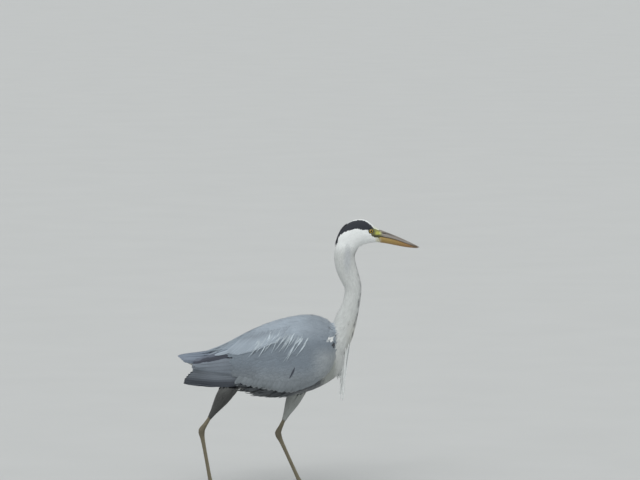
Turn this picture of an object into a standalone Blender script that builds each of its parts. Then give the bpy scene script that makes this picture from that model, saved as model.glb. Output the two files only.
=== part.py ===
"""Grey heron (Ardea cinerea), life size, standing in a slow wading stride with the neck raised.

The bird faces +X, its left side is +Y and +Z is up. The origin is on the floor, in the middle of the
bird's box. Lengths in the tables are millimetres and become metres in the meshes.

Each piece is a loft: rings are placed along a line and joined. Pieces that meet are parted by thin
cuts: a piece is cut by a slightly grown copy of the neighbour that it sits on.
"""

import math

import bmesh
import bpy
from mathutils import Vector

# --- Driving dimensions, in millimetres ------------------------------------------------------------
GAP = 0.45  # clearance between two neighbouring pieces
EYE_RADIUS = 8.6
EYE_CENTRE = (192.5, 12.2, 686.5)
TIBIA_FEATHERED = 0.75  # share of the tibia that the thigh feathers cover
TOE_BASE = 22.0  # length of each toe that belongs to the foot piece
TOE_RADIUS = 4.1  # at the toe's root
CLAW_RADIUS = 1.9  # at the claw's root
CLAW_ARCH = 1.1  # how far the middle of a claw rises
CLAW_TIP_HEIGHT = 0.45
TAIL_THICKNESS = 4.0
TAIL_ARCH = math.radians(62)  # half of the arc across the closed tail
WING_LEAN = 0.16  # how far the wings lean in towards the back, in millimetres for each one up

# Rings along each loft and sides around it.
FACETS = {
    "trunk": (17, 20),
    "head": (14, 16),
    "neck": (21, 16),
    "bill": (10, 12),
    "crest": (8, 12),
    "plumes": (10, 12),
    "tail": (7, 9),
    "wing": (14, 16),
    "tertials": (7, 10),
    "primaries": (9, 10),
    "thigh": (9, 12),
    "shank": (17, 8),
    "claw": (5, 6),
}
EYE_FACETS = (12, 7)
MOUTH_STEPS = 60
LIP_SHARE = 0.16  # how far from the mouth line a mandible is widest, as a share of its height
TOE_SIDES = 8

# Legs: knee, ankle and the middle of the ball of the foot. The left leg is forward and flat on the
# floor, the right one trails with its heel a little raised.
LEGS = {
    "left": {"knee": (29, 31, 326), "ankle": (-55, 35, 143), "ball": (6, 33, 8.5)},
    "right": {"knee": (-142, -31, 335), "ankle": (-257, -35, 158), "ball": (-231, -33, 12.5)},
}
INWARD = {"left": -1, "right": 1}  # the way along Y from a foot to the bird's middle

# Toes: angle from straight ahead towards the bird's middle in degrees, length without the claw, claw
# length, number of joints that show as pads.
TOES = {
    "1": {"angle": 172, "length": 50, "claw": 17, "joints": 1},
    "2": {"angle": 30, "length": 63, "claw": 11, "joints": 2},
    "3": {"angle": -1, "length": 84, "claw": 11, "joints": 3},
    "4": {"angle": -32, "length": 70, "claw": 10, "joints": 4},
}

# Rows along the ball of the foot: place ahead of its middle, half height, half width.
FOOT_PAD = [(-12, 3.4, 4), (-7, 6.4, 6.6), (0, 7.4, 8.2), (8, 6.4, 8.6), (15, 4, 7)]

# --- Outline tables, in millimetres ----------------------------------------------------------------
# Rows across the body: x, top, bottom, half width.
TRUNK = [
    (-246, 354, 316, 14),
    (-222, 366, 299, 24),
    (-190, 386, 281, 36),
    (-154, 409, 266, 47),
    (-114, 429, 254, 57),
    (-69, 447, 247, 64),
    (-22, 459, 248, 68),
    (21, 465, 257, 67),
    (53, 462, 269, 62),
    (79, 451, 283, 54),
    (100, 430, 298, 43),
    (114, 404, 312, 30),
    (121, 372, 331, 15),
]
HEAD = [
    (104.5, 669, 652, 6),
    (109, 681.5, 640, 12),
    (118, 695.5, 632, 17.5),
    (133, 708.5, 631, 21),
    (149, 716.5, 637, 22.5),
    (164, 718.5, 645, 22.3),
    (177, 717, 651, 21),
    (188, 711, 654, 19),
    (198, 702.5, 655.5, 16.2),
    (206, 696.5, 656, 14.2),
    (213, 693, 655.8, 12.8),
]
# Rows along the bill: x, culmen or gonys, half width. The two halves meet at the mouth line.
MOUTH_LINE = [
    (200, 673),
    (212, 672),
    (230, 669.6),
    (250, 665.6),
    (270, 660),
    (291, 651.6),
    (309, 645.4),
    (323, 642.6),
]
BILL_UPPER = [
    (201, 698, 13),
    (212, 693.2, 12.4),
    (221, 689, 11.4),
    (231, 684.8, 10.2),
    (249, 678, 8.6),
    (270, 669.2, 6.8),
    (291, 659.4, 4.9),
    (309, 650.4, 2.9),
    (322.5, 643.6, 0.8),
]
BILL_LOWER = [
    (201, 657, 12.2),
    (212, 655.7, 11.8),
    (221, 655, 10.8),
    (231, 653.8, 9.7),
    (249, 650.3, 8),
    (270, 646, 6.2),
    (291, 642.7, 4.3),
    (309, 641.1, 2.4),
    (319, 641.2, 0.9),
]
# Rows along the neck from the chest up: x, z, half depth fore and aft, half width.
NECK = [
    (84, 334, 26, 26),
    (99, 371, 29.5, 28),
    (115.5, 411, 30.5, 26),
    (126.5, 450, 30, 23.5),
    (138, 482, 24.5, 20),
    (144.5, 514, 22.5, 18.5),
    (145, 541, 23.5, 18.5),
    (135.5, 567, 26.5, 19),
    (126, 594, 28.3, 19.5),
    (122.5, 620, 28, 20),
    (128.5, 644, 29, 20.5),
    (143, 668, 28, 21),
]
NECK_SPLIT = 10  # the ring where the lower length of the neck ends and the upper one starts
# Rows along a folded wing: x, top, bottom, outermost y, half thickness.
WING = [
    (-178, 376, 300, 49, 10),
    (-154, 387, 279, 59, 14),
    (-114, 406, 274, 69, 19),
    (-67, 425, 266, 76, 23),
    (-43, 432, 260, 78.5, 24),
    (-3, 440, 268, 80, 25),
    (30, 440, 281, 78, 25),
    (62, 432, 295, 71, 23),
    (84, 416, 318, 61, 20),
    (95, 398, 343, 50, 16),
    (99, 384, 362, 40, 10),
]
TERTIALS = [
    (-284, 327, 319, 12, 2.2),
    (-270, 338, 314, 17, 3.5),
    (-247, 353, 311, 25, 5.5),
    (-220, 367, 308, 35, 8),
    (-190, 380, 303, 46, 13),
    (-158, 392, 298, 56, 20),
]
PRIMARIES = [
    (-308, 283, 277, 8, 1.6),
    (-297, 303, 277, 11.5, 2.4),
    (-280, 318, 278, 16.5, 3.5),
    (-260, 321, 279, 23, 5),
    (-238, 319, 276, 31, 6.5),
    (-215, 316, 271, 39, 8),
    (-190, 312, 270, 47.5, 13),
    (-160, 306, 274, 57, 20),
]
# Rows along the tail: x, top, lower edge, half width.
TAIL = [
    (-322.5, 350, 341, 13),
    (-316, 355, 335, 20),
    (-300, 359, 329, 24),
    (-276, 362.5, 325, 27),
    (-243, 368, 322, 28),
    (-212, 377, 322, 25),
]
# Rows down the long breast feathers: x, z, half depth, half width.
PLUMES = [
    (106, 350, 14, 20),
    (108.5, 322, 12, 16),
    (110.5, 301, 9, 12.5),
    (112, 280, 7.2, 9.5),
    (112.5, 260, 5.8, 7),
    (112.5, 243, 4.2, 4.5),
    (112, 229, 1.6, 1.6),
]
# Rows down the crest that lies on the nape: x, z, half depth, half width.
CREST = [
    (133, 706, 4, 9),
    (122.9, 697.2, 4.5, 9.5),
    (114.7, 685.6, 4.5, 8.5),
    (108.9, 672.3, 4.5, 7),
    (104.4, 661, 4, 5.2),
    (100.4, 650, 3, 3.6),
    (96.9, 639.5, 1.4, 1.6),
]
# Rows down the feathered thigh: share of the way from knee to ankle, half depth, half width.
THIGH = [
    (0.10, 23, 13),
    (0.18, 25, 15),
    (0.28, 25, 16),
    (0.40, 23, 15.5),
    (0.50, 20.5, 14.5),
    (0.58, 17, 12.5),
    (0.66, 12.5, 9.6),
    (TIBIA_FEATHERED, 7.4, 6.6),
]
# Rows down the bare leg: bone (0 tibia, 1 tarsus), share along it, half depth, half width.
SHANK = [
    (0, 0.68, 4.9, 4.6),
    (0, 0.80, 4.9, 4.5),
    (0, 0.92, 6.4, 5.8),
    (0, 0.985, 9, 8),
    (1, 0.05, 8.6, 7.6),
    (1, 0.13, 6.4, 5.4),
    (1, 0.30, 5.3, 4.4),
    (1, 0.62, 5.1, 4.2),
    (1, 0.86, 5.4, 5),
    (1, 0.96, 7, 6.8),
    (1, 1.0, 7.2, 7),
]

COLOURS = {
    "mantle": ((0.30, 0.34, 0.38), 0.85),
    "wing": ((0.24, 0.27, 0.30), 0.85),
    "flight": ((0.07, 0.08, 0.10), 0.7),
    "white": ((0.68, 0.69, 0.67), 0.9),
    "black": ((0.02, 0.022, 0.028), 0.7),
    "bill_grey": ((0.23, 0.21, 0.19), 0.45),
    "bill_orange": ((0.45, 0.27, 0.06), 0.45),
    "iris": ((0.75, 0.62, 0.10), 0.1),
    "leg": ((0.16, 0.13, 0.09), 0.6),
    "claw": ((0.06, 0.05, 0.045), 0.4),
}


# --- Meshes ----------------------------------------------------------------------------------------
def material(name):
    """The Principled material of that name in COLOURS, made once."""
    if name in bpy.data.materials:
        return bpy.data.materials[name]
    colour, roughness = COLOURS[name]
    made = bpy.data.materials.new(name)
    made.use_nodes = True
    shader = made.node_tree.nodes["Principled BSDF"]
    shader.inputs["Base Color"].default_value = (*colour, 1)
    shader.inputs["Roughness"].default_value = roughness
    shader.inputs["Metallic"].default_value = 0
    return made


def curved(f, before, near, far, after):
    """The value a share f of the way from near to far, on a Catmull-Rom curve."""
    straight = 2 * near + (far - before) * f
    square = (2 * before - 5 * near + 4 * far - after) * f**2
    cube = (3 * near - before - 3 * far + after) * f**3
    return 0.5 * (straight + square + cube)


def smooth_rows(rows, count, start=0.0, end=None):
    """count rows on the Catmull-Rom curve through rows, from position start to end in row numbers."""
    last = len(rows) - 1
    end = last if end is None else end
    made = []
    for i in range(count):
        t = start + (end - start) * i / (count - 1)
        k = min(int(t), last - 1)
        f = t - k
        a, b, c, d = (rows[min(max(j, 0), last)] for j in (k - 1, k, k + 1, k + 2))
        made.append(tuple(curved(f, *values) for values in zip(a, b, c, d)))
    return made


def bent(value, power):
    """value, a cosine or sine, bent so that a ring is rounder or squarer than an ellipse."""
    return math.copysign(abs(value) ** (2 / power), value)


def ring(centre, up, side, r_up, r_down, r_side, sides, power=2.0):
    """Points around a centre: r_side along side, r_up along up and r_down against it."""
    points = []
    for i in range(sides):
        angle = math.tau * (i + 0.5) / sides
        across = r_side * bent(math.cos(angle), power)
        rise = bent(math.sin(angle), power)
        points.append(centre + side * across + up * rise * (r_up if rise > 0 else r_down))
    return points


def skin_rings(name, rings, finish):
    """One closed mesh object through the rings, in metres."""
    shape = bmesh.new()
    loops = [[shape.verts.new(point * 0.001) for point in points] for points in rings]
    count = len(rings[0])
    for near, far in zip(loops, loops[1:]):
        for i in range(count):
            j = (i + 1) % count
            shape.faces.new((near[i], near[j], far[j]))  # triangles, so a grown copy folds the same way
            shape.faces.new((near[i], far[j], far[i]))
    shape.faces.new(loops[0])
    shape.faces.new(loops[-1])
    bmesh.ops.recalc_face_normals(shape, faces=shape.faces)
    mesh = bpy.data.meshes.new(name)
    shape.to_mesh(mesh)
    shape.free()
    mesh.shade_smooth()
    mesh.materials.append(material(finish))
    made = bpy.data.objects.new(name, mesh)
    bpy.context.scene.collection.objects.link(made)
    return made


def across_body(name, rows, facets, finish, widest=0.5, power=2.0, grow=0.0):
    """Loft of rings square to X from rows of x, top, bottom, half width, on the bird's middle plane."""
    count, sides = facets
    rings = []
    spaced = smooth_rows(rows, count)
    for i, (x, top, bottom, half) in enumerate(spaced):
        x += end_shift(i, count, grow)
        middle = bottom + (top - bottom) * widest
        centre = Vector((x, 0, middle))
        sizes = (top - middle + grow, middle - bottom + grow, half + grow)
        rings.append(ring(centre, Vector((0, 0, 1)), Vector((0, 1, 0)), *sizes, sides, power))
    return skin_rings(name, rings, finish)


def end_shift(index, count, grow):
    """How far the first and last ring of a grown loft move outwards along X."""
    return {0: -grow, count - 1: grow}.get(index, 0.0)


def beside_body(name, rows, facets, finish, sign, power=2.3, grow=0.0):
    """Loft of thin upright rings square to X, from rows of x, top, bottom, outermost y, half thickness."""
    count, sides = facets
    rings = []
    for i, (x, top, bottom, outer, thick) in enumerate(smooth_rows(rows, count)):
        x += end_shift(i, count, grow)
        lean = Vector((0, -sign * WING_LEAN, 1)).normalized()
        centre = Vector((x, sign * (outer - thick), (top + bottom) / 2))
        half = (top - bottom) / 2 + grow
        rings.append(ring(centre, lean, Vector((0, 1, 0)), half, half, thick + grow, sides, power))
    return skin_rings(name, rings, finish)


def directions(points):
    """The way ahead at each point of a line."""
    last = len(points) - 1
    return [(points[min(i + 1, last)] - points[max(i - 1, 0)]).normalized() for i in range(last + 1)]


def line_rings(rows, sides, power=2.0, grow=0.0):
    """Rings square to a line, from rows of point, half depth, half width. The width is along Y."""
    points = [Vector(row[0]) for row in rows]
    rings = []
    for i, (ahead, (_, depth, width)) in enumerate(zip(directions(points), rows)):
        side = (Vector((0, 1, 0)) - ahead * ahead.y).normalized()
        centre = points[i] + ahead * end_shift(i, len(rows), grow)
        deep = depth + grow
        rings.append(ring(centre, side.cross(ahead), side, deep, deep, width + grow, sides, power))
    return rings


def along_line(name, rows, finish, sides, power=2.0, grow=0.0):
    return skin_rings(name, line_rings(rows, sides, power, grow), finish)


def helper(made):
    """Marks a cutter, which isn't a part of the bird."""
    made.hide_render = True
    made.display_type = "WIRE"
    return made


def cut(made, *cutters, operation="DIFFERENCE"):
    """Takes the cutters away from a piece, or joins them to it."""
    for cutter in cutters:
        step = made.modifiers.new(cutter.name, "BOOLEAN")
        step.operation = operation
        step.object = cutter
        step.solver = "EXACT"
    return made


# --- The bird's parts ------------------------------------------------------------------------------
def trunk(name="trunk", grow=0.0):
    return across_body(name, TRUNK, FACETS["trunk"], "mantle", widest=0.52, power=2.1, grow=grow)


def head(name="head", grow=0.0):
    return across_body(name, HEAD, FACETS["head"], "white", widest=0.48, power=2.15, grow=grow)


def in_middle(rows, count, start=0.0, end=None):
    """Rows for along_line from rows of x, z, half depth, half width on the bird's middle plane."""
    return [((x, 0, z), depth, width) for x, z, depth, width in smooth_rows(rows, count, start, end)]


def neck():
    """The neck in two lengths, parted by a thin cut square to its line."""
    count, sides = FACETS["neck"]
    rows = in_middle(NECK, count)
    rings = line_rings(rows, sides)
    ahead = directions([Vector(row[0]) for row in rows])[NECK_SPLIT]
    lower = skin_rings("neck_lower", rings[: NECK_SPLIT + 1], "white")
    rings[NECK_SPLIT] = [point + ahead * GAP for point in rings[NECK_SPLIT]]
    return lower, skin_rings("neck_upper", rings[NECK_SPLIT:], "white")


def bill_half(name, rows, finish, upper):
    """One mandible: widest at the mouth line and rounded off towards the culmen or the gonys."""
    count, sides = FACETS["bill"]
    mouth = smooth_rows(MOUTH_LINE, MOUTH_STEPS)
    rings = []
    for x, edge, half in smooth_rows(rows, count):
        line = min(mouth, key=lambda point: abs(point[0] - x))[1]
        line += GAP / 2 * (1 if upper else -1)
        lip = LIP_SHARE * (edge - line)
        centre = Vector((x, 0, line + lip))
        body = abs(edge - line - lip)
        sizes = (body, abs(lip), half) if upper else (abs(lip), body, half)
        rings.append(ring(centre, Vector((0, 0, 1)), Vector((0, 1, 0)), *sizes, sides, 2.2))
    return skin_rings(name, rings, finish)


def eye(name, sign, radius):
    """A globe; its centre lies under the side of the head."""
    shape = bmesh.new()
    around, down = EYE_FACETS
    bmesh.ops.create_uvsphere(shape, u_segments=around, v_segments=down, radius=radius * 0.001)
    mesh = bpy.data.meshes.new(name)
    shape.to_mesh(mesh)
    shape.free()
    mesh.shade_smooth()
    mesh.materials.append(material("iris"))
    made = bpy.data.objects.new(name, mesh)
    x, y, z = EYE_CENTRE
    made.location = Vector((x, sign * y, z)) * 0.001
    bpy.context.scene.collection.objects.link(made)
    return made


def tail(name="tail", grow=0.0):
    """The closed tail: a shallow arched roof of one thickness, open below."""
    count, across = FACETS["tail"]
    low = math.cos(TAIL_ARCH)
    rings = []
    for i, (x, top, edge, half) in enumerate(smooth_rows(TAIL, count)):
        x += end_shift(i, count, grow)
        outer, inner = [], []
        for k in range(across):
            angle = TAIL_ARCH * (2 * k / (across - 1) - 1)
            out = Vector((0, math.sin(angle), math.cos(angle)))
            share = (math.cos(angle) - low) / (1 - low)
            point = Vector((x, half * math.sin(angle) / math.sin(TAIL_ARCH), edge + (top - edge) * share))
            outer.append(point + out * grow)
            inner.append(point - out * (TAIL_THICKNESS + grow))
        rings.append(outer + inner[::-1])
    return skin_rings(name, rings, "wing")


def thigh(name, leg, grow=0.0):
    knee, ankle = Vector(leg["knee"]), Vector(leg["ankle"])
    count, sides = FACETS["thigh"]
    rows = [(knee.lerp(ankle, share), depth, width) for share, depth, width in smooth_rows(THIGH, count)]
    return along_line(name, rows, "white", sides, grow=grow)


def shank(name, leg, grow=0.0):
    """Bare lower tibia, ankle joint and tarsus in one bent length."""
    knee, ankle, ball = (Vector(leg[key]) for key in ("knee", "ankle", "ball"))
    bones = [(knee, ankle), (ankle, ball)]
    count, sides = FACETS["shank"]
    rows = []
    for bone, share, depth, width in SHANK:
        point = bones[bone][0].lerp(bones[bone][1], share)
        rows.append((*point, depth, width))
    rows = [(row[:3], row[3], row[4]) for row in smooth_rows(rows, count)]
    return along_line(name, rows, "leg", sides, grow=grow)


def toe_rows(leg, side, toe, start, end, count):
    """Rows for along_line on one toe, from start to end millimetres out from the ball of the foot."""
    ball = Vector(leg["ball"])
    angle = math.radians(toe["angle"]) * INWARD[side]
    ahead = Vector((math.cos(angle), math.sin(angle), 0))
    drop = 14 + (ball.z - TOE_RADIUS) * 2.2  # how far out the toe reaches the floor
    rows = []
    for i in range(count):
        out = start + (end - start) * i / (count - 1)
        share = out / toe["length"]
        swell = 0.07 * math.cos(math.tau * share * (toe["joints"] + 0.5))
        radius = TOE_RADIUS * (1 - 0.42 * share) * (1 + swell)
        fall = min(out / drop, 1.0)
        fall = fall * fall * (3 - 2 * fall)
        height = ball.z * (1 - fall) + radius * 0.86 * fall
        rows.append((Vector((ball.x, ball.y, 0)) + ahead * out + Vector((0, 0, height)), radius, radius))
    return rows


def flatten(made, low=0.0):
    """Presses what is under the level low flat onto it."""
    for vertex in made.data.vertices:
        vertex.co.z = max(vertex.co.z, low * 0.001)
    return made


def line_across(name, rows, finish, sides, grow=0.0):
    """A loft along level lines, whose rings stay upright and square to the line."""
    points = [row[0] for row in rows]
    flat = (points[-1] - points[0]) * Vector((1, 1, 0))
    ahead = flat.normalized()
    side = Vector((-ahead.y, ahead.x, 0))
    rings = []
    for i, (point, depth, width) in enumerate(rows):
        centre = point + ahead * end_shift(i, len(rows), grow)
        deep = depth + grow
        rings.append(ring(centre, Vector((0, 0, 1)), side, deep, deep, width + grow, sides))
    return skin_rings(name, rings, finish)


def foot(side, leg):
    """The ball of the foot with the roots of its four toes, and the toes and claws beyond it."""
    ball = Vector(leg["ball"])
    pad_rows = [(ball + Vector((out, 0, -0.12 * abs(out))), high, wide) for out, high, wide in FOOT_PAD]
    base = flatten(line_across(f"foot_{side}", pad_rows, "leg", TOE_SIDES))
    for number, toe in TOES.items():
        root_rows = toe_rows(leg, side, toe, 1, TOE_BASE, 3)
        root = line_across(f"root_{side}_{number}", root_rows, "leg", TOE_SIDES - 1)
        cut(base, helper(flatten(root)), operation="UNION")
        body = toe_rows(leg, side, toe, TOE_BASE + GAP, toe["length"], 4 + 2 * toe["joints"])
        flatten(line_across(f"toe_{side}_{number}", body, "leg", TOE_SIDES))
        claw(f"claw_{side}_{number}", leg, side, toe)
    return base


def claw(name, leg, side, toe):
    """A curved claw that leaves the end of its toe and comes down to the floor."""
    start = toe_rows(leg, side, toe, toe["length"], toe["length"] + 1, 2)
    ahead = (start[1][0] - start[0][0]) * Vector((1, 1, 0))
    ahead.normalize()
    count, sides = FACETS["claw"]
    rows = []
    for i in range(count):
        share = i / (count - 1)
        radius = CLAW_RADIUS * (1 - 0.8 * share)
        arch = CLAW_ARCH * math.sin(math.pi * share * 0.9)
        height = CLAW_RADIUS + arch - (CLAW_RADIUS - CLAW_TIP_HEIGHT) * share**2
        point = start[0][0] * Vector((1, 1, 0)) + ahead * (GAP + toe["claw"] * share)
        rows.append((point + Vector((0, 0, max(height, radius))), radius, radius * 0.8))
    return flatten(line_across(name, rows, "claw", sides))


def middle_loft(name, rows, part, finish, grow=0.0):
    """A loft down the bird's middle plane with that part's facets."""
    count, sides = FACETS[part]
    return along_line(name, in_middle(rows, count), finish, sides, grow=grow)


def folded(part, side, rows, finish, grow=0.0):
    """One piece of a folded wing, or where it is grown, the cutter that makes room for it."""
    name = f"{part}_cut_{side}" if grow else f"{part}_{side}"
    return beside_body(name, rows, FACETS[part], finish, INWARD[side] * -1, grow=grow)


def build():
    for old in list(bpy.data.objects):
        bpy.data.objects.remove(old)

    trunk()
    trunk_cut = helper(trunk("trunk_cut", GAP))

    head_part = head()
    head_cut = helper(head("head_cut", GAP))
    for side in LEGS:
        eye(f"eye_{side}", -INWARD[side], EYE_RADIUS)
        cut(head_part, helper(eye(f"socket_{side}", -INWARD[side], EYE_RADIUS + GAP)))
    cut(bill_half("bill_upper", BILL_UPPER, "bill_grey", True), head_cut)
    cut(bill_half("bill_lower", BILL_LOWER, "bill_orange", False), head_cut)

    neck_lower, neck_upper = neck()
    cut(neck_lower, trunk_cut)
    cut(neck_upper, head_cut)
    neck_cut = helper(middle_loft("neck_cut", NECK, "neck", "white", GAP))

    cut(middle_loft("crest", CREST, "crest", "black"), head_cut, neck_cut)
    cut(middle_loft("breast_plumes", PLUMES, "plumes", "white"), trunk_cut, neck_cut)

    cut(tail(), trunk_cut)
    tail_cut = helper(tail("tail_cut", GAP))
    for side, leg in LEGS.items():
        cut(folded("wing", side, WING, "wing"), trunk_cut, neck_cut)
        wing_cut = helper(folded("wing", side, WING, "wing", GAP))
        cut(folded("tertials", side, TERTIALS, "wing"), trunk_cut, wing_cut, tail_cut)
        tertials_cut = helper(folded("tertials", side, TERTIALS, "wing", GAP))
        cut(folded("primaries", side, PRIMARIES, "flight"), trunk_cut, wing_cut, tertials_cut, tail_cut)
        primaries_cut = helper(folded("primaries", side, PRIMARIES, "flight", GAP))

        cut(thigh(f"thigh_{side}", leg), trunk_cut, wing_cut, tertials_cut, primaries_cut)
        thigh_cut = helper(thigh(f"thigh_cut_{side}", leg, GAP))
        shin = shank(f"shank_{side}", leg)
        cut(shin, thigh_cut)
        shin_cut = helper(shank(f"shank_cut_{side}", leg, GAP))
        cut(foot(side, leg), shin_cut)


build()
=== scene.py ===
"""Looks of the life-size grey heron: one skin, its plumage, eyes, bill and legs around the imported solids.

Lengths are millimetres until a mesh is made. The bird faces +X, its left side is +Y and +Z is up.
Feathers are closed thin vanes laid over a smooth shell of the body, following a field of directions.
"""

import math

import bmesh
import bpy
import numpy as np
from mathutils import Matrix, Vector
from mathutils.bvhtree import BVHTree
from mathutils.kdtree import KDTree


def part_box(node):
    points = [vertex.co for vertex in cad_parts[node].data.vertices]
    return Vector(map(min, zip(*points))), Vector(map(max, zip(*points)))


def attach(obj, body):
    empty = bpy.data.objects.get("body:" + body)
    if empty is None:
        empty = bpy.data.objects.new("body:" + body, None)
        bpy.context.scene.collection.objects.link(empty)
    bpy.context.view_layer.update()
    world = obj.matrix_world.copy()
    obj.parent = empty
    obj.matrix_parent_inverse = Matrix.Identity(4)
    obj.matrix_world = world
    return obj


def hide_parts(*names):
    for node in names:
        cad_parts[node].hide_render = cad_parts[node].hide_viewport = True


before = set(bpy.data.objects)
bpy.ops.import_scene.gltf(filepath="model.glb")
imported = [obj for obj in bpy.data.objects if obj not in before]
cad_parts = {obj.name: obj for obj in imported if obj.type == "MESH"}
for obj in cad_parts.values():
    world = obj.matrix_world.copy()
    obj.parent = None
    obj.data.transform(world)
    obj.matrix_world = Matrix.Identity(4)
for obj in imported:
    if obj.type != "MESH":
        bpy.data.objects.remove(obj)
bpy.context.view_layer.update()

MM = 0.001
SIDES = {"left": 1, "right": -1}
WINGS = ["wing_left", "wing_right"]
THIGHS = ["thigh_left", "thigh_right"]
FLESH = ["trunk", "neck_lower", "neck_upper", "head", *WINGS, *THIGHS]
FLIGHT = ["tail", "tertials_left", "tertials_right", "primaries_left", "primaries_right"]
BILL = ["bill_upper", "bill_lower"]
EYES = ["eye_left", "eye_right"]
EYE = np.array([192.5, 9.9, 686.5])  # centre of the left eye
EYE_RADIUS = 7.7
EYE_POLE = (0.15, 1.0, 0.10)  # where the left eye looks
SEED = 20

# --- Colours: display values from 0 to 255, turned into linear reflectance by albedo() --------------
WHITE = (228, 231, 230)
NECK_GREY = (192, 195, 193)
NECK_SIDE = (170, 175, 180)
CREAM = (206, 204, 192)
CHIN = (190, 184, 140)
FOREHEAD = (204, 208, 188)
BELLY = (158, 162, 158)
MANTLE = (150, 161, 171)
MANTLE_DEEP = (131, 143, 153)
WING_GREY = (112, 122, 131)
WING_LOW = (123, 130, 135)
WING_FORE = (150, 156, 159)
TERTIAL = (112, 120, 129)
# Painted shadow: a dark tertial in the slit under the highest ones.
TERTIAL_SLIT_SHADE = (62, 66, 76)
TERTIAL_PALE = (99, 106, 118)
TAIL_GREY = (116, 126, 139)
SILVER = (176, 187, 194)
SLATE = (101, 108, 116)
SLATE_DARK = (66, 71, 79)
THIGH_GREY = (172, 176, 173)
THIGH_DARK_LOW = (66, 67, 66)
NEAR_BLACK = (42, 45, 52)
# Black of the flank stripe, darkened further as painted shade under the wing.
FLANK_BLACK_AND_SHADE = (82, 86, 90)
LORE = (142, 144, 88)
LORE_BRIGHT = (188, 190, 92)
# Dark olive at the gape, also painted as shade on the lores beside the eye.
GAPE_AND_EYE_SHADE = (60, 58, 42)
LID = (100, 99, 60)
LID_RIM = (44, 42, 34)
VENT = (212, 214, 210)
BILL_HORN = (140, 134, 128)
BILL_RIDGE = (142, 137, 128)
BILL_DARK = (84, 78, 72)
BILL_TIP = (98, 88, 72)
BILL_YELLOW = (158, 132, 76)
BILL_ORANGE = (144, 107, 66)
LEG_BROWN = (110, 103, 84)
LEG_PALE = (138, 131, 106)
LEG_DARK = (74, 68, 56)

# --- Lie of the feathers ----------------------------------------------------------------------------
# Each guide is a place on the left side or the middle (x, y, z), the way that feathers point there (x, y, z)
# and their spacing.
LIE = [
    (213, 0, 693, -0.83, 0, 0.55, 1.2), (185, 0, 712, -0.97, 0, 0.25, 1.4),
    (150, 0, 717, -1, 0, 0.05, 1.7), (130, 0, 707, -0.85, 0, -0.5, 1.8),
    (118, 0, 697, -0.65, 0, -0.75, 1.9), (104, 0, 665, -0.25, 0, -0.97, 2),
    (200, 15, 668, -1, 0, -0.1, 1.2), (190, 17, 670, -1, 0, -0.1, 1.3),
    (190, 14, 703, -1, 0, 0.1, 1.3), (205, 0, 656, -0.98, 0, -0.05, 1.4),
    (185, 0, 655, -0.97, 0, -0.12, 1.5), (165, 0, 646, -0.9, 0, -0.35, 1.8),
    (165, 21, 675, -0.97, 0, -0.2, 1.5), (145, 21, 695, -0.95, 0, -0.3, 1.7),
    (130, 20, 670, -0.6, 0, -0.8, 1.9), (150, 20, 650, -0.6, 0, -0.8, 1.9),
    (100, 0, 620, -0.05, 0, -1, 2.2), (150, 0, 620, -0.12, 0, -0.99, 2.2),
    (110, 0, 567, 0.34, 0, -0.94, 2.4), (160, 0, 575, 0.3, 0, -0.95, 2.4),
    (122, 0, 541, 0.22, 0, -0.97, 2.4), (168, 0, 541, 0.1, 0, -0.99, 2.4),
    (122, 0, 510, -0.1, 0, -0.99, 2.6), (166, 0, 510, -0.12, 0, -0.99, 2.6),
    (105, 0, 455, -0.4, 0, -0.92, 3), (155, 0, 450, -0.26, 0, -0.97, 3),
    (95, 0, 437, -0.9, 0, 0.1, 4.2), (90, 30, 390, -0.6, 0.1, -0.8, 4.3),
    (140, 0, 400, -0.3, 0, -0.95, 4), (121, 0, 350, -0.12, 0, -0.99, 4.5),
    (100, 40, 350, -0.5, 0.1, -0.85, 4.6), (105, 0, 305, -0.6, 0, -0.8, 4.8),
    (50, 0, 268, -0.97, 0, -0.25, 5.1), (50, 45, 290, -0.95, 0, -0.2, 5.1),
    (-20, 0, 248, -1, 0, -0.05, 5.3), (-20, 45, 262, -1, 0, 0, 5.3),
    (-120, 0, 255, -0.98, 0, 0.15, 5.3), (-120, 40, 275, -0.98, 0, 0.15, 5.3),
    (-220, 0, 298, -0.93, 0, 0.35, 5.6), (85, 0, 450, -0.83, 0, 0.5, 4.8),
    (60, 30, 450, -0.95, 0, 0.1, 5.6), (21, 0, 465, -1, 0, 0, 6.1),
    (-70, 0, 447, -0.98, 0, -0.2, 6.7), (-70, 45, 425, -0.96, 0, -0.28, 6.9),
    (-150, 0, 411, -0.9, 0, -0.44, 7), (-220, 0, 368, -0.88, 0, -0.48, 7),
    (96, 50, 380, -0.9, 0, -0.4, 3.7), (60, 75, 400, -0.9, 0, -0.42, 4.5),
    (60, 70, 330, -0.97, 0, -0.2, 4.6), (0, 80, 420, -0.9, 0, -0.42, 6.1),
    (0, 80, 360, -0.92, 0, -0.36, 6.1), (0, 80, 290, -0.98, 0, -0.02, 6.4),
    (-60, 78, 400, -0.9, 0, -0.42, 6.9), (-60, 78, 340, -0.96, 0, -0.25, 7.2),
    (-60, 76, 280, -0.99, 0, 0.06, 7.2), (-130, 66, 380, -0.92, 0, -0.36, 7.5),
    (-130, 66, 330, -0.98, 0, -0.15, 7.7), (-130, 64, 285, -0.99, 0, 0.08, 7.7),
    (25, 33, 290, -0.4, 0, -0.9, 4), (2, 33, 240, -0.44, 0, -0.9, 3.2),
    (-30, 34, 195, -0.42, 0, -0.9, 2.2), (-160, 33, 285, -0.52, 0, -0.84, 4),
    (-190, 34, 250, -0.52, 0, -0.84, 3.2), (-225, 35, 205, -0.52, 0, -0.84, 2.2),
]
LIE_REACH = 13.0  # within about this distance the nearest guide rules
FOLLOW = 0.5  # how quickly a feather bends to the field of directions

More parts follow.
